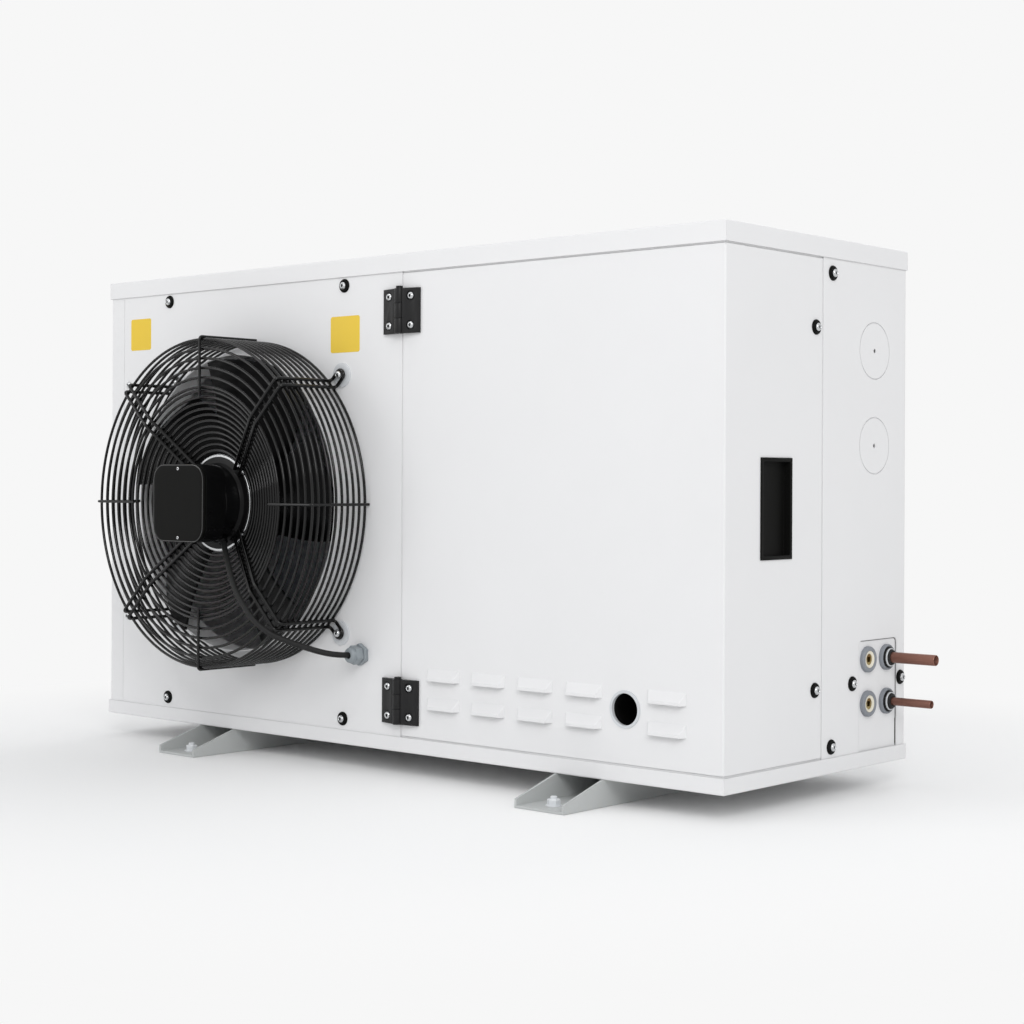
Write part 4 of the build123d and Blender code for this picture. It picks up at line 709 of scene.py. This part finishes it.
def makeGland():
    glandX, glandZ = glandCentre()
    place = Matrix.Translation((glandX, faceY, glandZ)) @ Matrix.Rotation(math.pi / 2, 4, "X")
    bm = bmesh.new()
    stackOutlines(bm, gland["base"], place, 6)
    piece = addPiece("glandBase", bm, "glandGrey", "root")
    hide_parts("cable_gland_body")
    bm = bmesh.new()
    stackOutlines(bm, gland["nut"], place @ Matrix.Rotation(gland["nutTurn"], 4, "Z"), 6)
    spin(bm, roundedProfile(gland["cap"], gland["capEdge"], 3), place, 36)
    piece = addPiece("glandNut", bm, "glandGrey", "root")
    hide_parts("cable_gland_nut")


# service valves: grommets, inserts and copper tails

valve = {"collar": 0.015, "thick": 0.005, "insert": 0.0098, "stem": 0.0066, "sleeve": 0.012,
         "step": 0.0028, "wall": 0.001, "bandIn": 0.0093, "bandOut": 0.0107, "foot": 0.001}


def makeGrommets():
    collars, inserts, bands, seals = (bmesh.new() for _ in range(4))
    tails = islands("pipe_stubs")
    collar, thick = valve["collar"], valve["thick"]
    for low, high in islands("valve_grommets"):
        middle = (low + high) / 2
        holdsPipe = high.x - low.x > thick + 0.004   # a sealed pipe makes its grommet longer
        plate = high.x - thick - (2 * valve["step"] if holdsPipe else 0.0)
        place = Matrix.Translation((plate, middle.y, middle.z)) @ Matrix.Rotation(math.pi / 2, 4, "Y")
        inner = valve["sleeve"] if holdsPipe else valve["insert"]
        ring = [(inner, 0.0), (inner, 0.0042), (inner + 0.0014, thick), (0.0138, thick),
                (collar, 0.0036), (collar, 0.0)]
        spin(collars, roundedProfile(ring, 0.0008, 3), place, 56)
        if not holdsPipe:
            bush = [(valve["stem"], 0.0), (valve["stem"], 0.0034), (valve["insert"], 0.0046),
                    (valve["insert"], 0.0)]
            spin(inserts, roundedProfile(bush, 0.0006, 3), place, 48)
            continue
        tail = min(tails, key=lambda box: abs((box[0].z + box[1].z) / 2 - middle.z))
        bore = (tail[1].z - tail[0].z) / 2 - 0.0002
        out = thick + valve["step"]
        near, far, foot = valve["bandIn"], valve["bandOut"], valve["foot"]
        band = [(near, foot), (near, out + 0.0002), ((near + far) / 2, out + 0.0007), (far, out + 0.0002),
                (far, foot)]
        spin(bands, roundedProfile(band, 0.0004, 3), place, 48)
        lip = [(far, foot), (far, out - 0.0012), (0.0117, out - 0.0006), (valve["sleeve"], foot)]
        spin(seals, roundedProfile(lip, 0.0004, 3), place, 48)
        seal = [(bore, foot), (bore, out + valve["step"] * 0.6), (bore + 0.0012, out + valve["step"]),
                (0.0086, out + valve["step"] * 0.7), (near, out - 0.0002), (near, foot)]
        spin(seals, roundedProfile(seal, 0.0006, 3), place, 48)
    piece = addPiece("grommetCollars", collars, "rubberGrey", "root")
    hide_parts("valve_grommets")
    addPiece("stemInserts", inserts, "creamPlastic", "root")
    addPiece("pipeBands", bands, "brightGrey", "root")
    addPiece("pipeSeals", seals, "rubberBlack", "root")


def makeTails():
    bm = bmesh.new()
    for low, high in islands("pipe_stubs"):
        middle, radius = (low + high) / 2, (high.z - low.z) / 2
        place = Matrix.Translation((low.x, middle.y, middle.z)) @ Matrix.Rotation(math.pi / 2, 4, "Y")
        run, bore = high.x - low.x, radius - valve["wall"]
        wall = [(radius - 0.0004, 0.0), (radius, 0.004), (radius, run * 0.5), (radius, run - 0.0006),
                (radius - 0.0004, run), (bore + 0.0003, run), (bore, run - 0.0004), (bore, run - 0.04),
                (0.0, run - 0.041)]
        spin(bm, wall, place, 48)
    piece = addPiece("copperTails", bm, "copperTube", "root")
    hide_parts("pipe_stubs")


# a painted shadow line round the valve plate, and the painted shade of the drain slot

recess = {"front": 0.0825, "rear": 0.1665, "top": 0.175, "corner": 0.006, "line": 0.0005,
          "slotLow": 0.050, "slotHigh": 0.080, "slotWide": 0.0016, "slotDeep": 0.0012,
          "proud": 0.0002, "overrun": 0.002}


def makeRecessLine():
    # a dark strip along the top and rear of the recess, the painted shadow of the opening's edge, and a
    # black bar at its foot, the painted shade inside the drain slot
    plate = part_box("valve_plate")[1].x + recess["proud"]
    front, rear, top = recess["front"], recess["rear"] - recess["line"], recess["top"] - recess["line"]
    spots = [(plate, front, top), (plate, rear, top), (plate, rear, recess["slotLow"] - recess["overrun"])]
    bm = bmesh.new()
    sweepRound(bm, roundCorners(spots, [recess["corner"]]), recess["line"], 8)
    addPiece("recessShadowLine", bm, "shadowLineGrey", "root")
    bm = bmesh.new()
    # a black bar: painted shade inside the drain slot
    addBar(bm, (plate - recess["slotDeep"], recess["rear"] - recess["slotWide"], recess["slotLow"]),
           (plate + 0.0001, recess["rear"] - 0.0001, recess["slotHigh"]))
    addPiece("drainSlotShade", bm, "mouldedBlack", "root")


# labels and anchor fixings

labels = {"left": {"place": (-0.4755, 0.5555), "half": 0.0215, "stretch": 1.02},
          "right": {"place": (-0.0690, 0.5370), "half": 0.0225, "stretch": 1.15}}
labelCorner = 0.003
labelThick = 0.0002


def makeLabels():
    # two plain yellow rectangles on the fan panel
    bm = bmesh.new()
    for label in labels.values():
        x, z = label["place"]
        half = label["half"]
        place = Matrix.Translation((x, faceY, z)) @ Matrix.Rotation(math.pi / 2, 4, "X")
        layers = [(half, labelCorner, 0.0), (half, labelCorner, labelThick)]
        stackOutlines(bm, layers, place, 4, label["stretch"])
    addPiece("labels", bm, "yellowLabel", "root")


anchor = {"across": 0.2275, "seat": 0.003, "washer": 0.0090, "washerThick": 0.0014, "stud": 0.0039,
          "studEnd": 0.0108, "thread": 0.0004, "threadPitch": 0.0006, "threads": 5,
          "nut": [(0.0062, 0.0008, 0.0014), (0.0066, 0.0008, 0.0020), (0.0066, 0.0008, 0.0070),
                  (0.0060, 0.0010, 0.0076)]}


def makeAnchorFixings():
    # a washer, a nut and a stud in each anchor hole of the rails
    bm = bmesh.new()
    for low, high in (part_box("foot_rail_left"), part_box("foot_rail_right")):
        for y in (-anchor["across"], anchor["across"]):
            place = Matrix.Translation(((low.x + high.x) / 2, y, anchor["seat"]))
            rim, thick = anchor["washer"], anchor["washerThick"]
            washer = [(0.0, 0.0), (rim, 0.0), (rim, thick), (0.0, thick)]
            spin(bm, roundedProfile(washer, 0.0004, 2), place, 32)
            stackOutlines(bm, anchor["nut"], place, 6)
            radius, nutTop, end = anchor["stud"], anchor["nut"][-1][2], anchor["studEnd"]
            stud = [(0.0, nutTop), (radius, nutTop)]
            stud += [(radius - anchor["thread"] * (k % 2), nutTop + 0.0002 + anchor["threadPitch"] * k)
                     for k in range(anchor["threads"])]
            spin(bm, stud + [(radius - 0.0009, end), (0.0, end)], place, 24)
    addPiece("anchorFixings", bm, "canWhite", "root")


# white strips that close the joints round the door from behind

jamb = {"back": 0.0007, "deep": 0.008, "reach": 0.0035, "clear": 0.0003, "lap": 0.001,
        "seat": 0.0001, "postDeep": 0.004, "postThick": 0.0012, "postReach": 0.0017}


def makeJambs():
    doorLow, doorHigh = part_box("door_panel")
    wingBack = doorHigh.y
    front, side = faceY + jamb["back"], sideX - jamb["back"]
    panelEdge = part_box("fan_panel")[1].x
    bm = bmesh.new()
    for low, high in ((doorHigh.z + jamb["clear"], doorHigh.z + jamb["reach"]),
                      (doorLow.z - jamb["reach"], doorLow.z - jamb["clear"])):
        addBar(bm, (doorLow.x - jamb["lap"], front, low), (side, front + jamb["deep"], high))
        addBar(bm, (side - jamb["deep"], front + jamb["deep"], low), (side, wingBack, high))
    addBar(bm, (panelEdge + jamb["seat"], front, doorLow.z),
           (doorLow.x - jamb["clear"], front + jamb["postDeep"], doorHigh.z))
    addBar(bm, (side - jamb["postThick"], wingBack + jamb["clear"], doorLow.z),
           (side, wingBack + jamb["postReach"], doorHigh.z))
    addPiece("doorJambs", bm, "powderWhite", "root")


# condenser fins and the tubes through them

fins = {"pitch": 0.0026, "sheet": 0.0008, "wave": 0.0004, "waves": 18, "drift": 1.7, "inset": 0.0006,
        "tube": 0.0048, "tubeRow": 0.0165}


def makeFins():
    low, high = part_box("condenser_fins")
    bm = bmesh.new()
    count = int((high.x - low.x) / fins["pitch"])
    rows = fins["waves"] * 2
    for i in range(count + 1):
        x = low.x + fins["inset"] + i * (high.x - low.x - 2 * fins["inset"] - fins["sheet"]) / count
        strips = []
        for k in range(rows + 1):
            share = k / rows
            shift = x + fins["wave"] * math.sin(math.pi * (k + 0.5)) * math.sin(fins["drift"] * i)
            z = low.z + share * (high.z - low.z)
            strips.append([bm.verts.new((shift + thick, y, z))
                           for thick, y in ((0.0, low.y), (fins["sheet"], low.y),
                                            (fins["sheet"], high.y), (0.0, high.y))])
        for a, b in zip(strips, strips[1:]):
            for c in range(4):
                bm.faces.new((a[c], a[(c + 1) % 4], b[(c + 1) % 4], b[c]))
        bm.faces.new(strips[0])
        bm.faces.new(strips[-1][::-1])
    piece = addPiece("condenserFins", bm, "finAluminium", "root")
    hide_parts("condenser_fins")
    bm = bmesh.new()
    middle = (low.y + high.y) / 2
    for bendLow, bendHigh in islands("coil_return_bends"):
        z = (bendLow.z + bendHigh.z) / 2
        for y in (middle - fins["tubeRow"], middle + fins["tubeRow"]):
            sweepRound(bm, [Vector((low.x, y, z)), Vector(((low.x + high.x) / 2, y, z)),
                            Vector((high.x, y, z))], fins["tube"], 12)
    addPiece("coilTubes", bm, "copperTube", "root")


makeMotorBody()
makeMotorRim()
makeTerminalBox()
makeTerminalCover()
print("motor built")
makeScrews("panelScrews", "panel_screws", "root")
makeScrews("doorScrews", "door_screws", "door")
makeWashers("panelWashers", "panel_washers", "root")
makeWashers("doorWashers", "door_washers", "door")
makeEars()
print("screws and washers seated")
makeLead()
makeGland()
makeGrommets()
makeTails()
print("lead, gland and valve ends built")
makeLabels()
makeAnchorFixings()
makeFins()
makeJambs()
makeRecessLine()
softCopy("fixedLeaves", "hinge_leaves_fixed", 0.0004, "hingeBlack", "root")
softCopy("doorLeaves", "hinge_leaves_door", 0.0004, "hingeBlack", "door")
softCopy("handleTray", "recess_handle", 0.0004, "mouldedBlack", "door")
print("labels, fins, hinges and handle built")


# floor and light

stage = {"radius": 30.0, "floorTone": (0.93, 0.93, 0.93), "litTone": (0.97, 0.97, 0.965),
         "fadeStart": 0.55, "fadeEnd": 1.15, "drop": 0.0002, "rough": 0.9, "specular": 0.1,
         "ambientColor": (0.97, 0.98, 1.0), "ambient": 0.64, "aim": (0.0, 0.0, 0.3)}


def makeFloor():
    bm = bmesh.new()
    bmesh.ops.create_circle(bm, cap_ends=True, segments=96, radius=stage["radius"])
    mesh = bpy.data.meshes.new("floor")
    bm.to_mesh(mesh)
    bm.free()
    floor = bpy.data.objects.new("floor", mesh)
    bpy.context.scene.collection.objects.link(floor)
    floor.location.z = -stage["drop"]
    material, nodes, links, shader = newMaterial("floorPaper")
    shader.inputs["Base Color"].default_value = (*stage["litTone"], 1)
    shader.inputs["Roughness"].default_value = stage["rough"]
    shader.inputs["Specular IOR Level"].default_value = stage["specular"]
    where = nodes.new("ShaderNodeTexCoord")
    length = nodes.new("ShaderNodeVectorMath")
    length.operation = "LENGTH"
    links.new(where.outputs["Object"], length.inputs[0])
    fade = nodes.new("ShaderNodeMapRange")
    fade.interpolation_type = "SMOOTHSTEP"
    fade.inputs["From Min"].default_value = stage["fadeStart"]
    fade.inputs["From Max"].default_value = stage["fadeEnd"]
    links.new(length.outputs["Value"], fade.inputs["Value"])
    paper = nodes.new("ShaderNodeEmission")
    paper.inputs["Color"].default_value = (*stage["floorTone"], 1)
    blend = nodes.new("ShaderNodeMixShader")
    links.new(fade.outputs["Result"], blend.inputs["Fac"])
    links.new(shader.outputs["BSDF"], blend.inputs[1])
    links.new(paper.outputs["Emission"], blend.inputs[2])
    links.new(blend.outputs["Shader"], nodes["Material Output"].inputs["Surface"])
    mesh.materials.append(material)


def makeWorld():
    world = bpy.data.worlds.new("studio")
    bpy.context.scene.world = world
    world.use_nodes = True
    nodes, links = world.node_tree.nodes, world.node_tree.links
    ambient = nodes["Background"]
    ambient.inputs["Color"].default_value = (*stage["ambientColor"], 1)
    ambient.inputs["Strength"].default_value = stage["ambient"]
    backdrop = nodes.new("ShaderNodeBackground")
    backdrop.inputs["Color"].default_value = (*stage["floorTone"], 1)
    rays = nodes.new("ShaderNodeLightPath")
    either = nodes.new("ShaderNodeMath")
    either.operation = "MAXIMUM"
    seen = nodes.new("ShaderNodeMath")
    seen.operation = "MAXIMUM"
    links.new(rays.outputs["Is Camera Ray"], either.inputs[0])
    links.new(rays.outputs["Is Glossy Ray"], either.inputs[1])
    links.new(either.outputs["Value"], seen.inputs[0])
    links.new(rays.outputs["Is Transmission Ray"], seen.inputs[1])
    blend = nodes.new("ShaderNodeMixShader")
    links.new(seen.outputs["Value"], blend.inputs["Fac"])
    links.new(ambient.outputs["Background"], blend.inputs[1])
    links.new(backdrop.outputs["Background"], blend.inputs[2])
    links.new(blend.outputs["Shader"], nodes["World Output"].inputs["Surface"])


lamps = {"key": {"place": (2.62, -2.48, 2.15), "size": 1.5, "power": 48.0},
         "fill": {"place": (-2.6, -3.0, 1.4), "size": 1.1, "power": 11.0},
         "overhead": {"place": (0.0, -0.6, 3.2), "size": 1.7, "power": 8.0},
         "glint": {"place": (-0.4, -1.9, 2.2), "size": 0.18, "power": 2.2},
         "behind": {"place": (-0.5, 3.2, 2.2), "size": 2.4, "power": 19.0}}


def makeLamp(name, lamp):
    data = bpy.data.lights.new(name, "AREA")
    data.shape = "SQUARE"
    data.size = lamp["size"]
    data.energy = lamp["power"]
    light = bpy.data.objects.new(name, data)
    bpy.context.scene.collection.objects.link(light)
    light.location = lamp["place"]
    aim = Vector(stage["aim"]) - light.location
    light.rotation_euler = aim.to_track_quat("-Z", "Y").to_euler()


makeFloor()
makeWorld()
for lampName, lampValues in lamps.items():
    makeLamp(lampName, lampValues)
bpy.context.scene.view_settings.view_transform = "Standard"
print("stage and lamps set")
